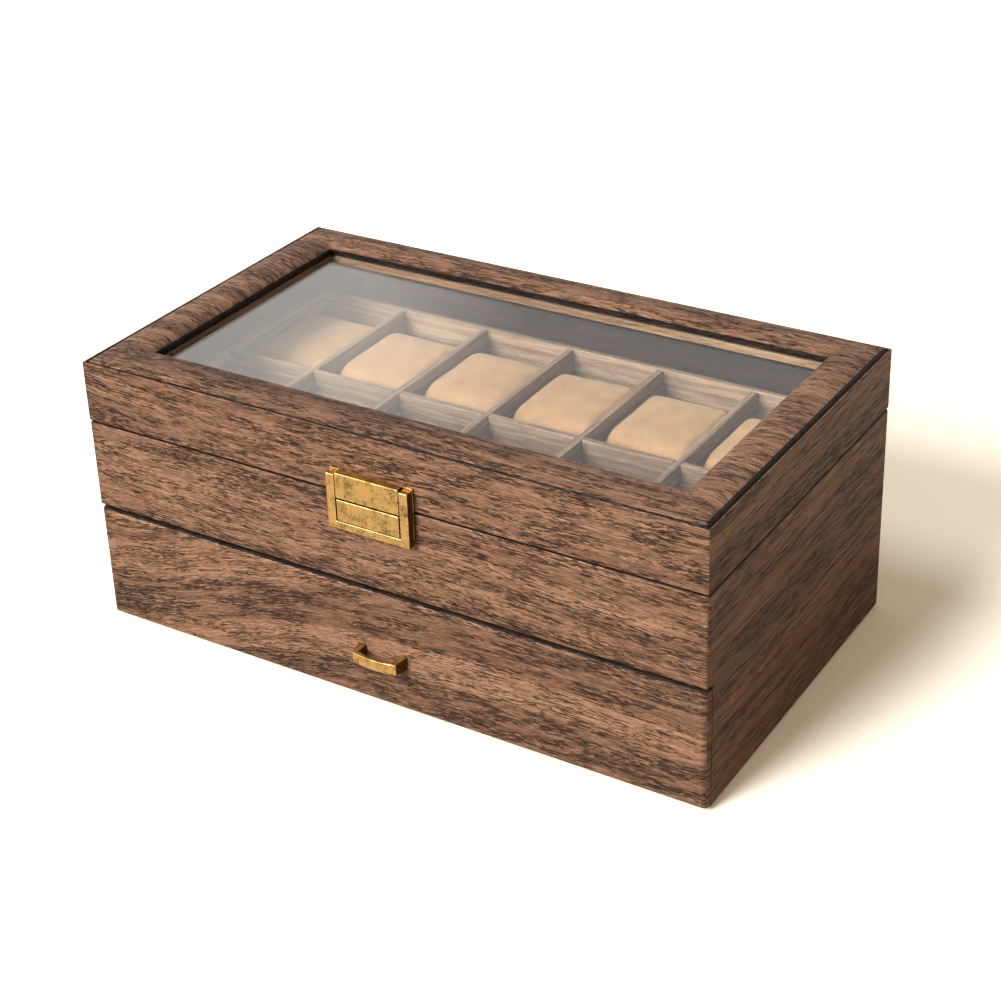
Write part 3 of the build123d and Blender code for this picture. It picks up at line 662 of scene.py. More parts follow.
def cleaned(piece):
    """Merge doubled points and drop the edges that lie inside flat faces."""
    only(piece)
    bpy.ops.object.mode_set(mode="EDIT")
    bpy.ops.mesh.select_all(action="SELECT")
    bpy.ops.mesh.remove_doubles(threshold=NEAR / 100)
    bpy.ops.mesh.dissolve_limited(angle_limit=FLAT)
    bpy.ops.object.mode_set(mode="OBJECT")
    return piece


def copied(node, name):
    """A merged copy of a CAD node's mesh with its own mesh data."""
    piece = bpy.data.objects.new(name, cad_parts[node].data.copy())
    bpy.context.scene.collection.objects.link(piece)
    piece.data.materials.clear()
    only(piece)
    bpy.ops.mesh.customdata_custom_splitnormals_clear()
    return cleaned(piece)


def weigh_edges(piece, share):
    """Weigh each real edge of a piece by a rule that takes its middle and its direction."""
    mesh = piece.data
    weights = mesh.attributes.new("bevel_weight_edge", "FLOAT", "EDGE")
    shape = bmesh.new()
    shape.from_mesh(mesh)
    for edge in shape.edges:
        if edge.calc_face_angle(0.0) > SHARP:
            first, last = [vertex.co for vertex in edge.verts]
            weights.data[edge.index].value = share((first + last) / 2, (last - first).normalized())
    shape.free()


def soften(piece, width, segments=2, edge_slot=-1, share=None):
    """Round a piece's edges; share gives the part of the width that an edge takes."""
    only(piece)
    bpy.ops.object.shade_smooth_by_angle(angle=SMOOTH)
    settings = {"limit_method": "ANGLE", "angle_limit": SHARP}
    if share:
        weigh_edges(piece, share)
        settings = {"limit_method": "WEIGHT"}
    modify(
        piece,
        "BEVEL",
        width=width,
        segments=segments,
        material=edge_slot,
        harden_normals=True,
        use_clamp_overlap=not share,
        **settings,
    )
    return piece


def mesh_arrays(piece):
    """Each face corner's point and its face's normal, as arrays."""
    mesh = piece.data
    points = np.empty(len(mesh.vertices) * 3)
    mesh.vertices.foreach_get("co", points)
    index = np.empty(len(mesh.loops), dtype=np.int64)
    mesh.loops.foreach_get("vertex_index", index)
    normals = np.empty(len(mesh.polygons) * 3)
    mesh.polygons.foreach_get("normal", normals)
    sizes = np.empty(len(mesh.polygons), dtype=np.int64)
    mesh.polygons.foreach_get("loop_total", sizes)
    return points.reshape(-1, 3)[index], np.repeat(normals.reshape(-1, 3), sizes, axis=0)


SIDEWAYS = 0.72
TOP_SHEET = 0.3


def write_grain(piece, u, v):
    """Write a piece's grain map, in metres."""
    layer = piece.data.uv_layers.new(name="grain")
    layer.data.foreach_set("uv", np.stack([u, v], axis=1).astype(np.float32).ravel())


def lay_grain(piece, shift=(0.0, 0.0), length_y=False):
    """A grain map that runs level round a piece; on flat tops it runs along X, or along Y."""
    point, normal = mesh_arrays(piece)
    x, y, z = point.T
    size = np.abs(normal)
    top = size[:, 2] >= np.maximum(size[:, 0], size[:, 1]) - 0.05
    front = ~top & (size[:, 1] >= size[:, 0])
    side = np.sign(normal[:, 0])
    round_side = side * (HALF_W + HALF_D + y)
    round_back = np.where(normal[:, 1] > 0, 2 * HALF_W + 2 * HALF_D - x, x)
    u = np.where(front, round_back, round_side)
    v = z.copy()
    u = np.where(top, y if length_y else x, u)
    v = np.where(top, x if length_y else y + TOP_SHEET, v)
    write_grain(piece, u + shift[0], v + shift[1])


def paint_faces(piece, chosen, slot_index):
    """Give the faces that pass a test, by centre and normal, one material slot."""
    for face in piece.data.polygons:
        if chosen(face.center, face.normal):
            face.material_index = slot_index


def side_on(centre, normal):
    """Whether a face looks to the left or the right."""
    return abs(normal.x) > SIDEWAYS


def settle(piece, body, slot, *nodes):
    """Let a finished piece stand for CAD nodes and ride on its body; the slot is not used."""
    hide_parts(*nodes)
    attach(piece, body)
    return piece


def on(value, plane):
    """Whether a coordinate lies on a plane."""
    return abs(value - plane) < NEAR


# Case and lid

LEAF_NEAR = 81 * MM
LEAF_FAR = 119 * MM
LEAF_WIDE = 9 * MM
LEAF_THICK = 1.2 * MM
ROUND_LEAF = 0.5 * MM
LEAF_SHARE = 0.04
INNER_SHARE = 0.15
LIP_SHARE = 0.2
FOOT_SHARE = 0.5
SPRING_X = 12.5 * MM
SPRING_Z = 105.35 * MM
SPRING_POCKET = 2.9 * MM
SPRING_POCKET_LONG = 7 * MM
TONGUE_HALF = 6 * MM
TONGUE_DROP = 7 * MM
TONGUE_DEEP = 1.5 * MM
RIM_WIDTH = 1.2 * MM
# Painted shade along the seams: how far from a seam it reaches, how steep a rounding's face must be at the
# sides and at the front, and up to nearly level
SEAM_REACH = 1.2 * MM
SEAM_AT_SIDES = 0.5
SEAM_AT_FRONT = 0.8
LEVEL = 0.995
# How far below the rim's top the painted shade on the rim's inner side starts
GROOVE_SHOWS = 0.3 * MM
BOARD_OVER_GLASS = 4 * MM
PAD_OVER_GLASS = 5 * MM


def shell_share(bottom, top, lip=None, top_share=0.5, corner_share=0.75):
    """The rounding of a covered shell's edges, by where each one lies."""

    def share(middle, along):
        outer_x = on(abs(middle.x), HALF_W)
        outer_y = on(abs(middle.y), HALF_D)
        by_leaf = LEAF_NEAR - ROUND_LEAF < abs(middle.x) < LEAF_FAR + ROUND_LEAF
        if by_leaf and middle.y > HALF_D - LEAF_WIDE - MM:
            return LEAF_SHARE
        if lip and on(middle.y, -HALF_D) and on(middle.z, lip):
            return LIP_SHARE
        if outer_x and outer_y:
            return corner_share
        if (outer_x or outer_y) and on(middle.z, top):
            return top_share
        if (outer_x or outer_y) and on(middle.z, bottom):
            return FOOT_SHARE
        return INNER_SHARE

    return share


def in_seam_shade(centre, normal, level, way):
    """Whether a face is the inner part of a rounding at the seam, where shade is painted; the sides show more
    of it.
    """
    least = SEAM_AT_SIDES if abs(normal.x) > abs(normal.y) else SEAM_AT_FRONT
    return abs(centre.z - level) < SEAM_REACH and least < normal.z * way < LEVEL


def within(half_x, half_y, bottom=-FAR):
    """A test for faces that lie inside a block round the middle line, above a level."""

    def inside(centre, normal):
        beside = abs(centre.x) < half_x + NEAR and abs(centre.y) < half_y + NEAR
        return beside and centre.z > bottom - NEAR

    return inside


def leaf_pocket(side):
    """Where a hinge leaf's pocket starts and ends across the box, lowest first."""
    return sorted((side * LEAF_NEAR, side * LEAF_FAR))


class WATCHBOX_OT_case_cover(bpy.types.Operator):
    """Model the covered walls of the case as one shell"""

    bl_idname = "watch_box.case_cover"
    bl_label = "Case cover"

    def execute(self, context):
        sizes = context.scene.watch_box_sizes
        seam = CASE_HIGH.z
        shell = add_block("case_cover", CASE_LOW, CASE_HIGH)
        carve(shell, (-BAY_X, -BAY_Y, -FAR), (BAY_X, BAY_Y, FAR))
        carve(shell, (-FAR, -FAR, -FAR), (FAR, NOTCH_Y, FRONT_WALL_Z))
        carve(shell, (-BAY_X, -FAR, -FAR), (BAY_X, -BAY_Y + MM, FRONT_WALL_Z))
        for side in (-1, 1):
            start, end = leaf_pocket(side)
            carve(shell, (start, HALF_D - LEAF_WIDE, seam - LEAF_THICK), (end, FAR, FAR))
            spring = (side * SPRING_X, -HALF_D + SPRING_POCKET_LONG / 2 - MM, SPRING_Z)
            bore(shell, spring, SPRING_POCKET, SPRING_POCKET_LONG)
        notch_end = -HALF_D + TONGUE_DEEP
        carve(shell, (-TONGUE_HALF, -FAR, seam - TONGUE_DROP), (TONGUE_HALF, notch_end, FAR))
        cleaned(shell)
        soften(shell, sizes.edge, 4, share=shell_share(CASE_LOW.z, seam, FRONT_WALL_Z))
        lay_grain(shell, (0.02, 0.0))
        dress(shell, "cover front", "cover side with painted shade", "cover inside painted shade", "cover painted shade")
        # Faces that look left or right take the side cover, whose darker, browner colour is painted shade
        paint_faces(shell, side_on, 1)
        # The faces inside the case take the darkened copy of the cover: painted shade
        paint_faces(shell, within(BAY_X, BAY_Y), 2)
        # The inner part of the roundings at the seam gets painted shade
        paint_faces(shell, lambda centre, normal: in_seam_shade(centre, normal, seam, 1.0), 3)
        settle(
            shell, "case", "wood_grain_cover", "left_wall", "right_wall", "back_wall", "upper_front_wall"
        )
        return {"FINISHED"}


class WATCHBOX_OT_lid_cover(bpy.types.Operator):
    """Model the covered walls and top board of the lid as one shell"""

    bl_idname = "watch_box.lid_cover"
    bl_label = "Lid cover"

    def execute(self, context):
        sizes = context.scene.watch_box_sizes
        frame_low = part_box("lid_top_frame")[0]
        wall_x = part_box("lid_front_wall")[1].x
        wall_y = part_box("lid_back_wall")[0].y
        glass_low, glass_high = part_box("glass_pane")
        hold = Vector((BOARD_OVER_GLASS, BOARD_OVER_GLASS, 0))
        through = Vector((0, 0, FAR))
        shell = add_block("lid_cover", LID_LOW, LID_HIGH)
        carve(shell, (-wall_x, -wall_y, -FAR), (wall_x, wall_y, frame_low.z))
        carve(shell, glass_low + hold - through, glass_high - hold + through)
        for side in (-1, 1):
            start, end = leaf_pocket(side)
            carve(shell, (start, HALF_D - LEAF_WIDE, -FAR), (end, FAR, LID_LOW.z + LEAF_THICK))
        pad_low, pad_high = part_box("lid_top_pad")
        play = Vector((sizes.rim_gap, sizes.rim_gap, 0))
        carve(shell, pad_low - play, pad_high + play + through)
        cleaned(shell)
        share = shell_share(LID_LOW.z, LID_HIGH.z, top_share=0.24, corner_share=0.4)
        soften(shell, sizes.edge, 4, share=share)
        lay_grain(shell, (0.02, 0.03))
        dress(shell, "cover front", "cover side with painted shade", "lining grain", "cover painted shade")
        # Faces that look left or right take the side cover, whose darker, browner colour is painted shade
        paint_faces(shell, side_on, 1)
        paint_faces(shell, within(wall_x, wall_y), 2)
        # Faces within the walls above the top board's underside, round the window and under the pad, get
        # painted shade
        paint_faces(shell, within(wall_x, wall_y, frame_low.z), 3)
        # The inner part of the roundings at the seam gets painted shade
        paint_faces(shell, lambda centre, normal: in_seam_shade(centre, normal, LID_LOW.z, -1.0), 3)
        # The groove's floor and the rim's inner side get painted shade
        paint_faces(shell, lambda centre, normal: self.in_groove_shade(centre, pad_low.z), 3)
        settle(
            shell,
            "lid",
            "wood_grain_cover",
            "lid_left_wall",
            "lid_right_wall",
            "lid_front_wall",
            "lid_back_wall",
            "lid_top_frame",
        )
        return {"FINISHED"}

    def in_groove_shade(self, centre, level):
        """Whether a point lies on the groove's floor or the rim's inner side, where shade is painted."""
        beside = abs(centre.x) < HALF_W - RIM_WIDTH + NEAR and abs(centre.y) < HALF_D - RIM_WIDTH + NEAR
        return on(centre.z, level) or (beside and centre.z < LID_HIGH.z - GROOVE_SHOWS)


# The padded top of the lid

ROLL_STEPS = [step * MM for step in (0.0, 0.15, 0.4, 0.8, 1.3, 2.0, 2.9, 4.0, 5.5, 7.5, 9.5)]
PAD_PITCH = 3 * MM
CREASE_FADE = 3.5 * MM
COARSE_CREASE = 90
FINE_CREASE = 260
SOFT_DENT = 22
CORNER_ROUND = 1.5 * MM
# Widths of the painted shade at the pad's foot: by the sides, by the ends and at the window
DARK_AT_SIDES = 1.7 * MM
DARK_AT_ENDS = 1.05 * MM
DARK_AT_WINDOW = 0.3 * MM


def bar_lines(start, end):
    """Mesh lines across one bar of the pad, close together at its rolled edges."""
    half = (end - start) / 2
    near = [step for step in ROLL_STEPS if step < half - MM]
    return [start + step for step in near] + [start + half] + [end - step for step in reversed(near)]


def lid_lines(low, window_low, window_high, high):
    """Mesh lines across the whole lid on one axis."""
    count = round((window_high - window_low) / PAD_PITCH)
    even = [window_low + (window_high - window_low) * step / count for step in range(1, count)]
    return bar_lines(low, window_low) + even + bar_lines(window_high, high)


def outside(value, low, high):
    """How far a value lies outside a range."""
    return max(low - value, value - high, 0.0)


def dent(x, y, scale, layer):
    """A smooth random height at one point of the pad."""
    return noise.noise(Vector((x * scale, y * scale, layer)))


class PadShape:
    """The height of the pad over its board, and the sheet's way over it."""

    def __init__(self, low, high, window_low, window_high, sizes):
        self.low, self.high = low, high
        self.window_low, self.window_high = window_low, window_high
        self.sizes = sizes

    def reach(self, x, y):
        """The distances in from the outer edge and out from the window."""
        outer = min(x - self.low.x, self.high.x - x, y - self.low.y, self.high.y - y)
        across = outside(x, self.window_low.x, self.window_high.x)
        along = outside(y, self.window_low.y, self.window_high.y)
        return max(outer, 0.0), math.hypot(across, along)

    def height(self, x, y):
        """The pad's height over its board at one point."""
        outer, inner = self.reach(x, y)
        share = min(outer / self.sizes.pad_roll, inner / self.sizes.window_roll, 1.0)
        roll = math.sqrt(1.0 - (1.0 - share) ** 2)
        lip = self.sizes.pad_lip
        body = lip + (self.high.z - self.low.z - lip) * roll
        crown = self.sizes.pad_crown * math.sin(math.pi * outer / max(outer + inner, NEAR)) ** 0.8
        fade = math.exp(-((inner / CREASE_FADE) ** 2))
        crease = dent(x, y, FINE_CREASE, 3.0) + 0.6 * dent(x, y, COARSE_CREASE, 9.0)
        soft = dent(x, y, SOFT_DENT, 5.0)
        return body + crown + self.sizes.pad_crinkle * (crease * fade + 0.5 * soft)


class WATCHBOX_OT_lid_pad(bpy.types.Operator):
    """Model the padded top of the lid, rolled over at its outer edge and at the window"""

    bl_idname = "watch_box.lid_pad"
    bl_label = "Lid pad"

    def execute(self, context):
        sizes = context.scene.watch_box_sizes
        low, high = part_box("lid_top_pad")
        glass_low, glass_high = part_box("glass_pane")
        hold = Vector((PAD_OVER_GLASS, PAD_OVER_GLASS, 0))
        window_low, window_high = glass_low + hold, glass_high - hold
        shape = PadShape(low, high, window_low, window_high, sizes)
        x_lines = lid_lines(low.x, window_low.x, window_high.x, high.x)
        y_lines = lid_lines(low.y, window_low.y, window_high.y, high.y)
        only()
        bpy.ops.mesh.primitive_grid_add(
            x_subdivisions=len(x_lines) - 1, y_subdivisions=len(y_lines) - 1, size=1
        )
        pad = bpy.context.object
        pad.name = "lid_pad"
        for vertex in pad.data.vertices:
            column = round((vertex.co.x + 0.5) * (len(x_lines) - 1))
            row = round((vertex.co.y + 0.5) * (len(y_lines) - 1))
            vertex.co = (x_lines[column], y_lines[row], low.z)

        def in_window(face):
            across = window_low.x < face.center.x < window_high.x
            return across and window_low.y < face.center.y < window_high.y

        pick(pad, "FACE", pad.data.polygons, in_window)
        bpy.ops.mesh.delete(type="FACE")
        bpy.ops.mesh.select_all(action="SELECT")
        bpy.ops.mesh.extrude_region_move(TRANSFORM_OT_translate={"value": (0, 0, MM)})
        bpy.ops.mesh.select_all(action="SELECT")
        bpy.ops.mesh.normals_make_consistent(inside=False)
        bpy.ops.object.mode_set(mode="OBJECT")
        self.roll(pad, shape)
        only(pad)
        bpy.ops.object.shade_smooth()
        self.lay_sheet(pad, shape)
        dress(pad, "cover top", "cover painted shade")

        # The pad's foot by its outer edge and at the window gets painted shade
        def in_crease_shade(centre, normal):
            outer, inner = shape.reach(centre.x, centre.y)
            by_side = shape.high.x - abs(centre.x) < shape.high.y - abs(centre.y)
            return outer < (DARK_AT_SIDES if by_side else DARK_AT_ENDS) or inner < DARK_AT_WINDOW

        paint_faces(pad, in_crease_shade, 1)
        settle(pad, "lid", "padded_cover", "lid_top_pad")
        return {"FINISHED"}

    def roll(self, pad, shape):
        """Move the upper points to the rolled, crowned height and tuck the foot in."""
        tuck = shape.sizes.pad_tuck
        flat_x, flat_y = shape.high.x - CORNER_ROUND, shape.high.y - CORNER_ROUND
        for vertex in pad.data.vertices:
            point = vertex.co
            if point.z > shape.low.z + MM / 2:
                point.z = shape.low.z + shape.height(point.x, point.y)
            else:
                point.x = self.tucked(point.x, shape.low.x, shape.window_low.x, tuck)
                point.x = self.tucked(point.x, shape.high.x, shape.window_high.x, tuck)
                point.y = self.tucked(point.y, shape.low.y, shape.window_low.y, tuck)
                point.y = self.tucked(point.y, shape.high.y, shape.window_high.y, tuck)
            past_x = abs(point.x) - flat_x
            past_y = abs(point.y) - flat_y
            if past_x > 0 and past_y > 0:
                away = max(past_x, past_y) / math.hypot(past_x, past_y)
                point.x = math.copysign(flat_x + past_x * away, point.x)
                point.y = math.copysign(flat_y + past_y * away, point.y)

    def tucked(self, value, outer, inner, tuck):
        """A foot point's coordinate, drawn in from the outer edge or back from the window's."""
        inward = math.copysign(1.0, inner - outer)
        for edge, way in ((outer, inward), (inner, -inward)):
            gap = (value - edge) * way
            if -NEAR < gap < 2 * tuck:
                return edge + way * (tuck + gap / 2)
        return value

    def lay_sheet(self, pad, shape):
        """The grain map of one sheet that is drawn over the pad's rolls."""
        point, normal = mesh_arrays(pad)
        u, v = point[:, 0].copy(), point[:, 1].copy()
        drop = shape.high.z + shape.sizes.pad_crown - point[:, 2]
        bar_x = (shape.high.x + shape.window_high.x) / 2
        bar_front = (shape.low.y + shape.window_low.y) / 2
        bar_back = (shape.high.y + shape.window_high.y) / 2
        on_side = np.abs(point[:, 0]) > shape.window_high.x
        outward_x = np.where(np.abs(point[:, 0]) > bar_x, 1.0, -1.0) * np.sign(point[:, 0])
        u += np.where(on_side, outward_x * drop, 0.0)
        in_front = point[:, 1] < shape.window_low.y
        at_back = point[:, 1] > shape.window_high.y
        v += np.where(in_front, np.where(point[:, 1] < bar_front, -drop, drop), 0.0)
        v += np.where(at_back, np.where(point[:, 1] > bar_back, drop, -drop), 0.0)
        write_grain(pad, u, v)


class WATCHBOX_OT_window(bpy.types.Operator):
    """Glaze the lid: the pane and the bead that holds it"""

    bl_idname = "watch_box.window"
    bl_label = "Window"

    def execute(self, context):
        sizes = context.scene.watch_box_sizes
        dress(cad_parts["glass_pane"], "window glass")
        bead = soften(copied("glass_bead", "glass_bead_cover"), sizes.lining_edge)
        lay_grain(bead, (0.1, 0.2))
        dress(bead, "lining grain")
        settle(bead, "lid", "wood_grain_cover", "glass_bead")
        return {"FINISHED"}


# Inside the case


class WATCHBOX_OT_lining(bpy.types.Operator):
    """Line the compartments: the liner, the crossed dividers and the floor"""

    bl_idname = "watch_box.lining"
    bl_label = "Lining"

    def execute(self, context):
        sizes = context.scene.watch_box_sizes
        names = ["compartment_liner", "long_divider"] + [f"cross_divider_{n}" for n in range(1, 6)]
        for number, node in enumerate(names):
            piece = soften(copied(node, node + "_covered"), sizes.lining_edge)
            lay_grain(piece, (0.13 * number, 0.07 * number), length_y=node.startswith("cross"))
            dress(piece, "lining grain")
            settle(piece, "case", "grain_lining", node)
        floor = soften(copied("compartment_floor_pad", "compartment_floor_cover"), sizes.board_edge)
        lay_grain(floor, (0.5, 0.5))
        dress(floor, "lining grain")
        settle(floor, "case", "grain_lining", "compartment_floor_pad")
        return {"FINISHED"}


PILLOW_VOXEL = 1.9 * MM
PILLOW_ROUND = 10.5 * MM
PILLOW_END_ROUND = 3.4 * MM
PILLOW_SPREAD = 0.9 * MM
PILLOW_SINK = 0.2 * MM
CORD_RADIUS = 0.42 * MM
CORD_INSET = 2.1 * MM
DENT_DEEP = 0.5 * MM
DENT_SCALE = 55
DENT_FROM_FLOOR = 10 * MM


def mesh_points(piece):
    """A piece's points as an array."""
    points = np.empty(len(piece.data.vertices) * 3)
    piece.data.vertices.foreach_get("co", points)
    return points.reshape(-1, 3)


def swell(piece, sizes):
    """Swell a closed mesh by a short cloth run, with a cap on how far a point moves."""
    before = mesh_points(piece)
    cloth = piece.modifiers.new("swell", "CLOTH")
    cloth.settings.use_pressure = True
    cloth.settings.uniform_pressure_force = sizes.pillow_pressure
    cloth.settings.effector_weights.gravity = 0.0
    cloth.point_cache.frame_start = 1
    cloth.point_cache.frame_end = sizes.cloth_frames
    for step in range(1, sizes.cloth_frames + 1):
        bpy.context.scene.frame_set(step)
    only(piece)
    bpy.ops.object.modifier_apply(modifier=cloth.name)
    bpy.context.scene.frame_set(1)
    moved = mesh_points(piece) - before
    far = np.linalg.norm(moved, axis=1, keepdims=True)
    capped = before + moved * np.minimum(1.0, sizes.pillow_cap / np.maximum(far, 1e-9))
    piece.data.vertices.foreach_set("co", capped.ravel())
    piece.data.update()


def bevel_edges(piece, chosen, width, segments):
    """Bevel the edges that pass a test, by middle and direction, in edit mode."""
    points = piece.data.vertices

    def picked(edge):
        first, last = [points[index].co for index in edge.vertices]
        return chosen((first + last) / 2, (last - first).normalized())

    pick(piece, "EDGE", piece.data.edges, picked)
    bpy.ops.mesh.bevel(offset=width, segments=segments, affect="EDGES")
    bpy.ops.object.mode_set(mode="OBJECT")


def seam_cord(piece, x, radius):
    """A sewn cord round a pillow, on the line where a plane across X cuts it."""
    cord = piece.copy()
    cord.data = piece.data.copy()
    bpy.context.scene.collection.objects.link(cord)
    only(cord)
    bpy.ops.object.mode_set(mode="EDIT")
    bpy.ops.mesh.select_all(action="SELECT")
    bpy.ops.mesh.bisect(plane_co=(x, 0, 0), plane_no=(1, 0, 0), clear_inner=True, clear_outer=True)
    bpy.ops.mesh.select_all(action="SELECT")
    bpy.ops.mesh.remove_doubles(threshold=0.5 * MM)
    bpy.ops.object.mode_set(mode="OBJECT")
    bpy.ops.object.convert(target="CURVE")
    curve = bpy.context.object
    curve.data.bevel_depth = radius
    curve.data.bevel_resolution = 2
    bpy.ops.object.convert(target="MESH")
    return bpy.context.object


class WATCHBOX_OT_pillows(bpy.types.Operator):
    """Sew one pillow, swell it, and lay a copy of it in each of the twelve cells"""

    bl_idname = "watch_box.pillows"
    bl_label = "Pillows"

    def execute(self, context):
        sizes = context.scene.watch_box_sizes
        low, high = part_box("pillow_front_1")
        inset = Vector((1, 1, 1)) * sizes.pillow_shrink
        inset.z = 0.0
        first = add_block("pillow", low + inset, high - Vector((inset.x, inset.y, 2 * inset.x)))
        bevel_edges(first, lambda middle, along: abs(along.x) > 0.9, PILLOW_ROUND, 6)
        ends = (low.x + inset.x, high.x - inset.x)

        def at_end(middle, along):
            return (on(middle.x, ends[0]) or on(middle.x, ends[1])) and abs(along.x) < 0.1

        bevel_edges(first, at_end, PILLOW_END_ROUND, 4)
        modify(first, "REMESH", mode="VOXEL", voxel_size=PILLOW_VOXEL)
        swell(first, sizes)
        self.keep_inside(first, low, high)
        only(first)
        bpy.ops.object.shade_smooth()
        modify(first, "SUBSURF", levels=1, render_levels=1)
        cords = [seam_cord(first, x, CORD_RADIUS) for x in (low.x + CORD_INSET, high.x - CORD_INSET)]
        only(first)
        for cord in cords:
            cord.select_set(True)
        bpy.ops.object.join()
        only(first)
        bpy.ops.object.shade_smooth()
        dress(first, "pillow suede")
        for row in ("front", "back"):
            for column in range(1, 7):
                self.lay(first, low, f"pillow_{row}_{column}")
        bpy.data.objects.remove(first)
        return {"FINISHED"}

    def keep_inside(self, piece, low, high):
        """Flatten the foot of the swollen pillow on the floor and keep its sides in its cell."""
        points = mesh_points(piece)
        points[:, 2] = np.maximum(points[:, 2], low.z - PILLOW_SINK)
        for axis in (0, 1):
            lowest, highest = low[axis] - PILLOW_SPREAD, high[axis] + PILLOW_SPREAD
            points[:, axis] = np.clip(points[:, axis], lowest, highest)
        piece.data.vertices.foreach_set("co", points.ravel())
        piece.data.update()

    def lay(self, first, low, node):
        """A copy of the pillow in one cell, each with its own mesh and its own dents."""
        pillow = first.copy()
        pillow.data = first.data.copy()
        pillow.name = node + "_sewn"
        bpy.context.scene.collection.objects.link(pillow)
        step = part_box(node)[0] - low
        points = mesh_points(pillow)
        seed = float(len(node)) + step.x * 40 + step.y * 90
        for point in points:
            x, y, z = [coordinate * DENT_SCALE for coordinate in point]
            depth = DENT_DEEP * noise.noise(Vector((x, y, z + seed)))
            point[2] += depth * min(1.0, (point[2] - low.z) / DENT_FROM_FLOOR)
        pillow.data.vertices.foreach_set("co", (points + np.array(step)).ravel())
        pillow.data.update()
        settle(pillow, node, "pillow_suede", node)


# Brass

# How squarely a brass face must look right or down to get the painted shade
FLANK = 0.8


def brass_copy(node, body, width, segments=2):
    """A softened copy of a brass node: its rounded edges brighter, partly wear and partly a painted
    highlight, and its right and lower flanks darkened with painted shade.
    """
    piece = copied(node, node + "_brass")
    dress(piece, "aged brass", "worn brass with painted highlight", "brass painted shade")
    # Faces that look right or down get the darkened brass: painted shade
    paint_faces(piece, lambda centre, normal: normal.x > FLANK or normal.z < -FLANK, 2)
    # The rounded edges take the brighter brass, partly wear and partly a painted highlight
    soften(piece, width, segments, edge_slot=1)
    settle(piece, body, "antique_brass", node)


class WATCHBOX_OT_clasp(bpy.types.Operator):
    """Finish the clasp: plates, frame, hook and push button in aged brass"""

    bl_idname = "watch_box.clasp"
    bl_label = "Clasp"

    def execute(self, context):
        width = context.scene.watch_box_sizes.metal_edge
        brass_copy("clasp_case_plate", "case", width)
        brass_copy("clasp_frame", "case", width)
        brass_copy("clasp_lid_plate", "lid", width)
        brass_copy("clasp_hook", "lid", width)
        brass_copy("clasp_button", "clasp_button", width)
        dress(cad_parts["clasp_springs"], "drawn steel")
        return {"FINISHED"}


class WATCHBOX_OT_hinges(bpy.types.Operator):
    """Finish the two hinges, their pins and all the small screws"""

    bl_idname = "watch_box.hinges"
    bl_label = "Hinges"

    def execute(self, context):
        width = context.scene.watch_box_sizes.metal_edge
        brass_copy("hinge_leaves_case", "case", width)
        brass_copy("hinge_leaves_lid", "lid", width)
        for node in ("hinge_pins", "case_screws", "lid_screws"):
            dress(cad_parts[node], "aged brass")
        return {"FINISHED"}


# Drawer


class WATCHBOX_OT_drawer_front(bpy.types.Operator):
    """Model the drawer's covered front panel"""

    bl_idname = "watch_box.drawer_front"
    bl_label = "Drawer front"

    def execute(self, context):
        sizes = context.scene.watch_box_sizes
        low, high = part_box("drawer_front")
        panel = add_block("drawer_front_cover", low, high - Vector((0, 0, sizes.drawer_seam)))

        def share(middle, along):
            if abs(along.y) > 0.9:
                return 0.5
            return 1.0 if on(middle.y, low.y) else 0.2

        soften(panel, sizes.drawer_edge, 5, share=share)
        lay_grain(panel, (0.02, 0.0))
        dress(panel, "cover drawer", "cover side with painted shade", "cover painted shade")
        # Faces that look left or right take the side cover, whose darker, browner colour is painted shade
        paint_faces(panel, side_on, 1)
        # The top of the drawer front's rounding and its top face get painted shade, a dark band under the
        # case's lip
        paint_faces(panel, lambda centre, normal: normal.z > 0.6, 2)
        settle(panel, "drawer", "wood_grain_cover", "drawer_front")
        return {"FINISHED"}


class WATCHBOX_OT_drawer_box(bpy.types.Operator):
    """Finish the drawer's box: boards, velvet floor and dividers"""

    bl_idname = "watch_box.drawer_box"
    bl_label = "Drawer box"

    def execute(self, context):
        sizes = context.scene.watch_box_sizes
        for node in ("inner_front", "left_side", "right_side", "back", "bottom"):
            node = "drawer_" + node
            piece = soften(copied(node, node + "_board"), sizes.board_edge)
            dress(piece, "drawer board")
            settle(piece, "drawer", "bare_board", node)
        for node in ("floor_pad", "divider_1", "divider_2", "divider_3"):
            node = "drawer_" + node
            piece = soften(copied(node, node + "_velvet"), sizes.lining_edge, 3)
            dress(piece, "drawer velvet")
            settle(piece, "drawer", "drawer_velvet", node)
        dress(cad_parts["drawer_pull_screws"], "drawn steel")
        return {"FINISHED"}


class WATCHBOX_OT_drawer_pull(bpy.types.Operator):
    """Finish the drawer's bail pull in aged brass"""

    bl_idname = "watch_box.drawer_pull"
    bl_label = "Drawer pull"

    def execute(self, context):
        brass_copy("drawer_pull", "drawer", context.scene.watch_box_sizes.metal_edge)
        return {"FINISHED"}


class WATCHBOX_OT_bay(bpy.types.Operator):
    """Finish the boards, strips and felt round the drawer's bay"""

    bl_idname = "watch_box.bay"
    bl_label = "Drawer bay"

    def execute(self, context):
        for node in ("base_panel", "deck_board", "drawer_stop_batten"):
            dress(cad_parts[node], "drawer board")
        dress(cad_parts["drawer_glides"], "slip strip")
        dress(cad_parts["base_felt"], "base felt")
        return {"FINISHED"}


# Stage

CAMERA_PLACE = (0.48947, -0.76209, 0.57669)
CAMERA_TURN = (63.1823, 1.7149, 31.3985)
CAMERA_LENS = 75.53
CAMERA_SENSOR = 36.0
CAMERA_SHIFT_Y = -0.1
FLOOR_SIZE = 8.0

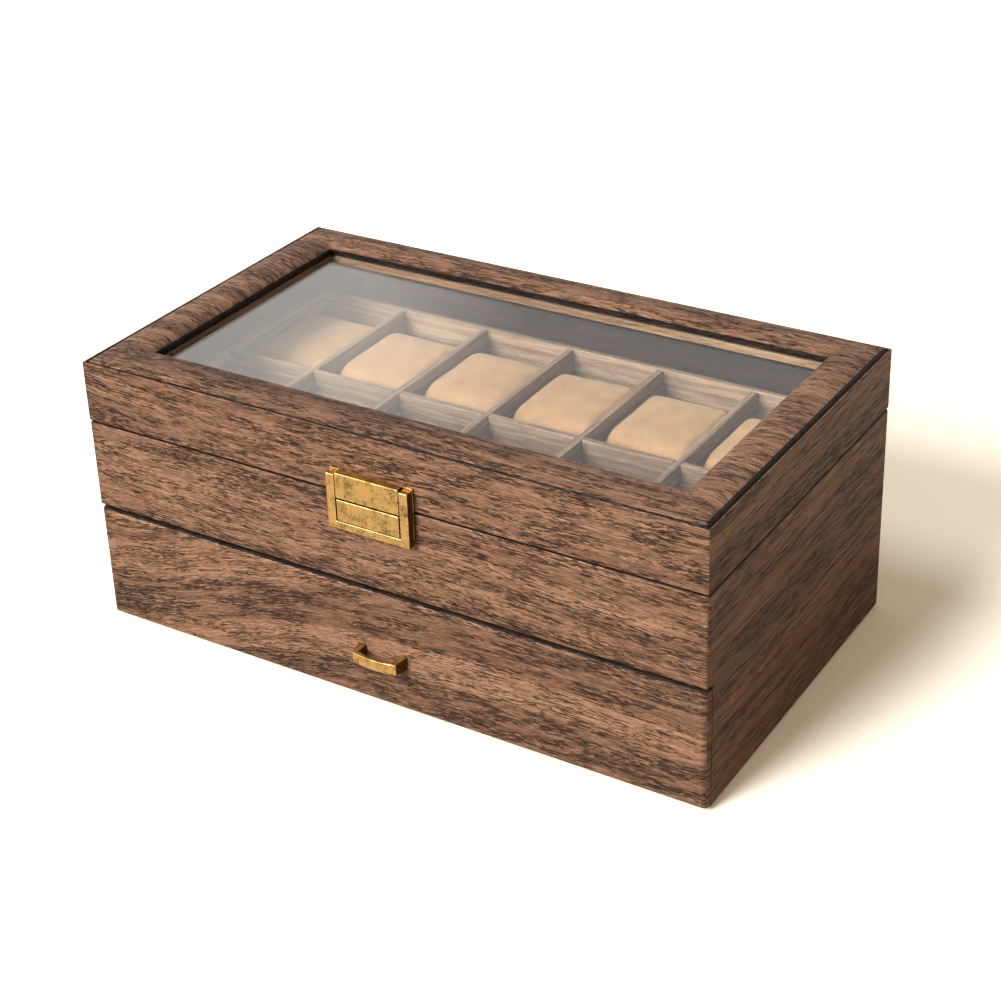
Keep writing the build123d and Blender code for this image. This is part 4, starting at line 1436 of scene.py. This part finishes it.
# Each lamp: its name, the way that it shines from, its strength, its spread in degrees and its colour
LAMPS = (
    ("key lamp", (-0.34, -0.95, 0.62), 3.3, 24.0, (1.0, 0.985, 0.96)),
    ("top lamp", (-0.42, -0.38, 1.0), 0.65, 22.0, (1.0, 0.985, 0.96)),
)
SURROUND_STRENGTH = 0.2
SURROUND_COLOUR = (1.0, 0.94, 0.84, 1.0)
MIRRORED_SURROUND = 0.6
VEIL_PLACE = (-0.97, 0.86, 0.62)
VEIL_SIZE = 0.9
VEIL_STRENGTH = 1.45


class WATCHBOX_OT_stage(bpy.types.Operator):
    """Set the floor, the lamps, the white surroundings and the camera"""

    bl_idname = "watch_box.stage"
    bl_label = "Stage"

    def execute(self, context):
        only()
        bpy.ops.mesh.primitive_plane_add(size=FLOOR_SIZE, location=(0, 0, 0))
        floor = bpy.context.object
        floor.name = "floor"
        dress(floor, "pale floor")
        floor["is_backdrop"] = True
        for name, place, strength, spread, tint in LAMPS:
            turn = Vector(place).to_track_quat("Z", "Y").to_euler()
            bpy.ops.object.light_add(type="SUN", rotation=turn)
            lamp = bpy.context.object
            lamp.name = name
            lamp.data.energy = strength
            lamp.data.angle = math.radians(spread)
            lamp.data.color = tint
        self.surround(context.scene)
        self.hang_veil()
        bpy.ops.object.camera_add(
            location=CAMERA_PLACE, rotation=[math.radians(angle) for angle in CAMERA_TURN]
        )
        camera = bpy.context.object
        camera.data.lens = CAMERA_LENS
        camera.data.sensor_width = CAMERA_SENSOR
        camera.data.shift_y = CAMERA_SHIFT_Y
        camera.data.clip_start = 0.01
        context.scene.camera = camera
        context.scene.view_settings.view_transform = "Standard"
        return {"FINISHED"}

    def hang_veil(self):
        """A soft-edged white card at the back, which the window mirrors over its left end."""
        place = Vector(VEIL_PLACE)
        only()
        bpy.ops.mesh.primitive_plane_add(
            size=VEIL_SIZE, location=place, rotation=place.to_track_quat("Z", "Y").to_euler()
        )
        card = bpy.context.object
        card.name = "veil_card"
        settled(card)
        dress(card, "veil card")
        card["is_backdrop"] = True

    def surround(self, scene):
        """White surroundings to look at, dimmer in mirrors, and a plain soft light for the rest."""
        world = bpy.data.worlds.new("surroundings")
        scene.world = world
        world.use_nodes = True
        tree = world.node_tree
        tree.nodes.clear()
        path = tree.nodes.new("ShaderNodeLightPath")
        soft = tree.nodes.new("ShaderNodeBackground")
        soft.inputs[0].default_value = SURROUND_COLOUR
        soft.inputs[1].default_value = SURROUND_STRENGTH
        white = tree.nodes.new("ShaderNodeBackground")
        white.inputs[0].default_value = (1.0, 1.0, 1.0, 1.0)
        direct = tree.nodes.new("ShaderNodeMath")
        direct.operation = "LESS_THAN"
        direct.inputs[1].default_value = 0.5
        tree.links.new(path.outputs["Diffuse Depth"], direct.inputs[0])
        dimmer = tree.nodes.new("ShaderNodeMath")
        dimmer.operation = "MULTIPLY_ADD"
        dimmer.inputs[1].default_value = MIRRORED_SURROUND - 1.0
        dimmer.inputs[2].default_value = 1.0
        tree.links.new(path.outputs["Is Glossy Ray"], dimmer.inputs[0])
        tree.links.new(dimmer.outputs[0], white.inputs[1])
        share = path.outputs["Is Camera Ray"]
        joins = [("ADD", path.outputs[name]) for name in ("Is Glossy Ray", "Is Transmission Ray")]
        for operation, output in joins + [("MULTIPLY", direct.outputs[0])]:
            join = tree.nodes.new("ShaderNodeMath")
            join.operation = operation
            join.use_clamp = True
            tree.links.new(share, join.inputs[0])
            tree.links.new(output, join.inputs[1])
            share = join.outputs[0]
        mixed = tree.nodes.new("ShaderNodeMixShader")
        tree.links.new(share, mixed.inputs[0])
        tree.links.new(soft.outputs[0], mixed.inputs[1])
        tree.links.new(white.outputs[0], mixed.inputs[2])
        output = tree.nodes.new("ShaderNodeOutputWorld")
        tree.links.new(mixed.outputs[0], output.inputs[0])


# Add-on

OPERATORS = (
    WATCHBOX_OT_case_cover,
    WATCHBOX_OT_lid_cover,
    WATCHBOX_OT_lid_pad,
    WATCHBOX_OT_window,
    WATCHBOX_OT_lining,
    WATCHBOX_OT_pillows,
    WATCHBOX_OT_clasp,
    WATCHBOX_OT_hinges,
    WATCHBOX_OT_drawer_front,
    WATCHBOX_OT_drawer_box,
    WATCHBOX_OT_drawer_pull,
    WATCHBOX_OT_bay,
    WATCHBOX_OT_stage,
)


class WATCHBOX_PT_build(bpy.types.Panel):
    """The steps of the watch box"""

    bl_label = "Watch Box"
    bl_idname = "WATCHBOX_PT_build"
    bl_space_type = "VIEW_3D"
    bl_region_type = "UI"
    bl_category = "Watch Box"

    def draw(self, context):
        column = self.layout.column(align=True)
        for operator in OPERATORS:
            column.operator(operator.bl_idname)


CLASSES = (BoxSizes, BoxColours, *OPERATORS, WATCHBOX_PT_build)


def register():
    """Register the classes and hang the settings on the scene."""
    for item in CLASSES:
        bpy.utils.register_class(item)
    bpy.types.Scene.watch_box_sizes = PointerProperty(type=BoxSizes)
    bpy.types.Scene.watch_box_colours = PointerProperty(type=BoxColours)


def unregister():
    """Take the settings and the classes away again."""
    del bpy.types.Scene.watch_box_colours
    del bpy.types.Scene.watch_box_sizes
    for item in reversed(CLASSES):
        bpy.utils.unregister_class(item)


def plain(box):
    """A box's corners as plain lists."""
    return [list(corner) for corner in box]


def main():
    """Build the watch box step by step."""
    register()
    for operator in OPERATORS:
        group, name = operator.bl_idname.split(".")
        getattr(getattr(bpy.ops, group), name)()
    {"cad": plain(cad_box), "visual": plain(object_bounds())}


if __name__ == "__main__":
    main()
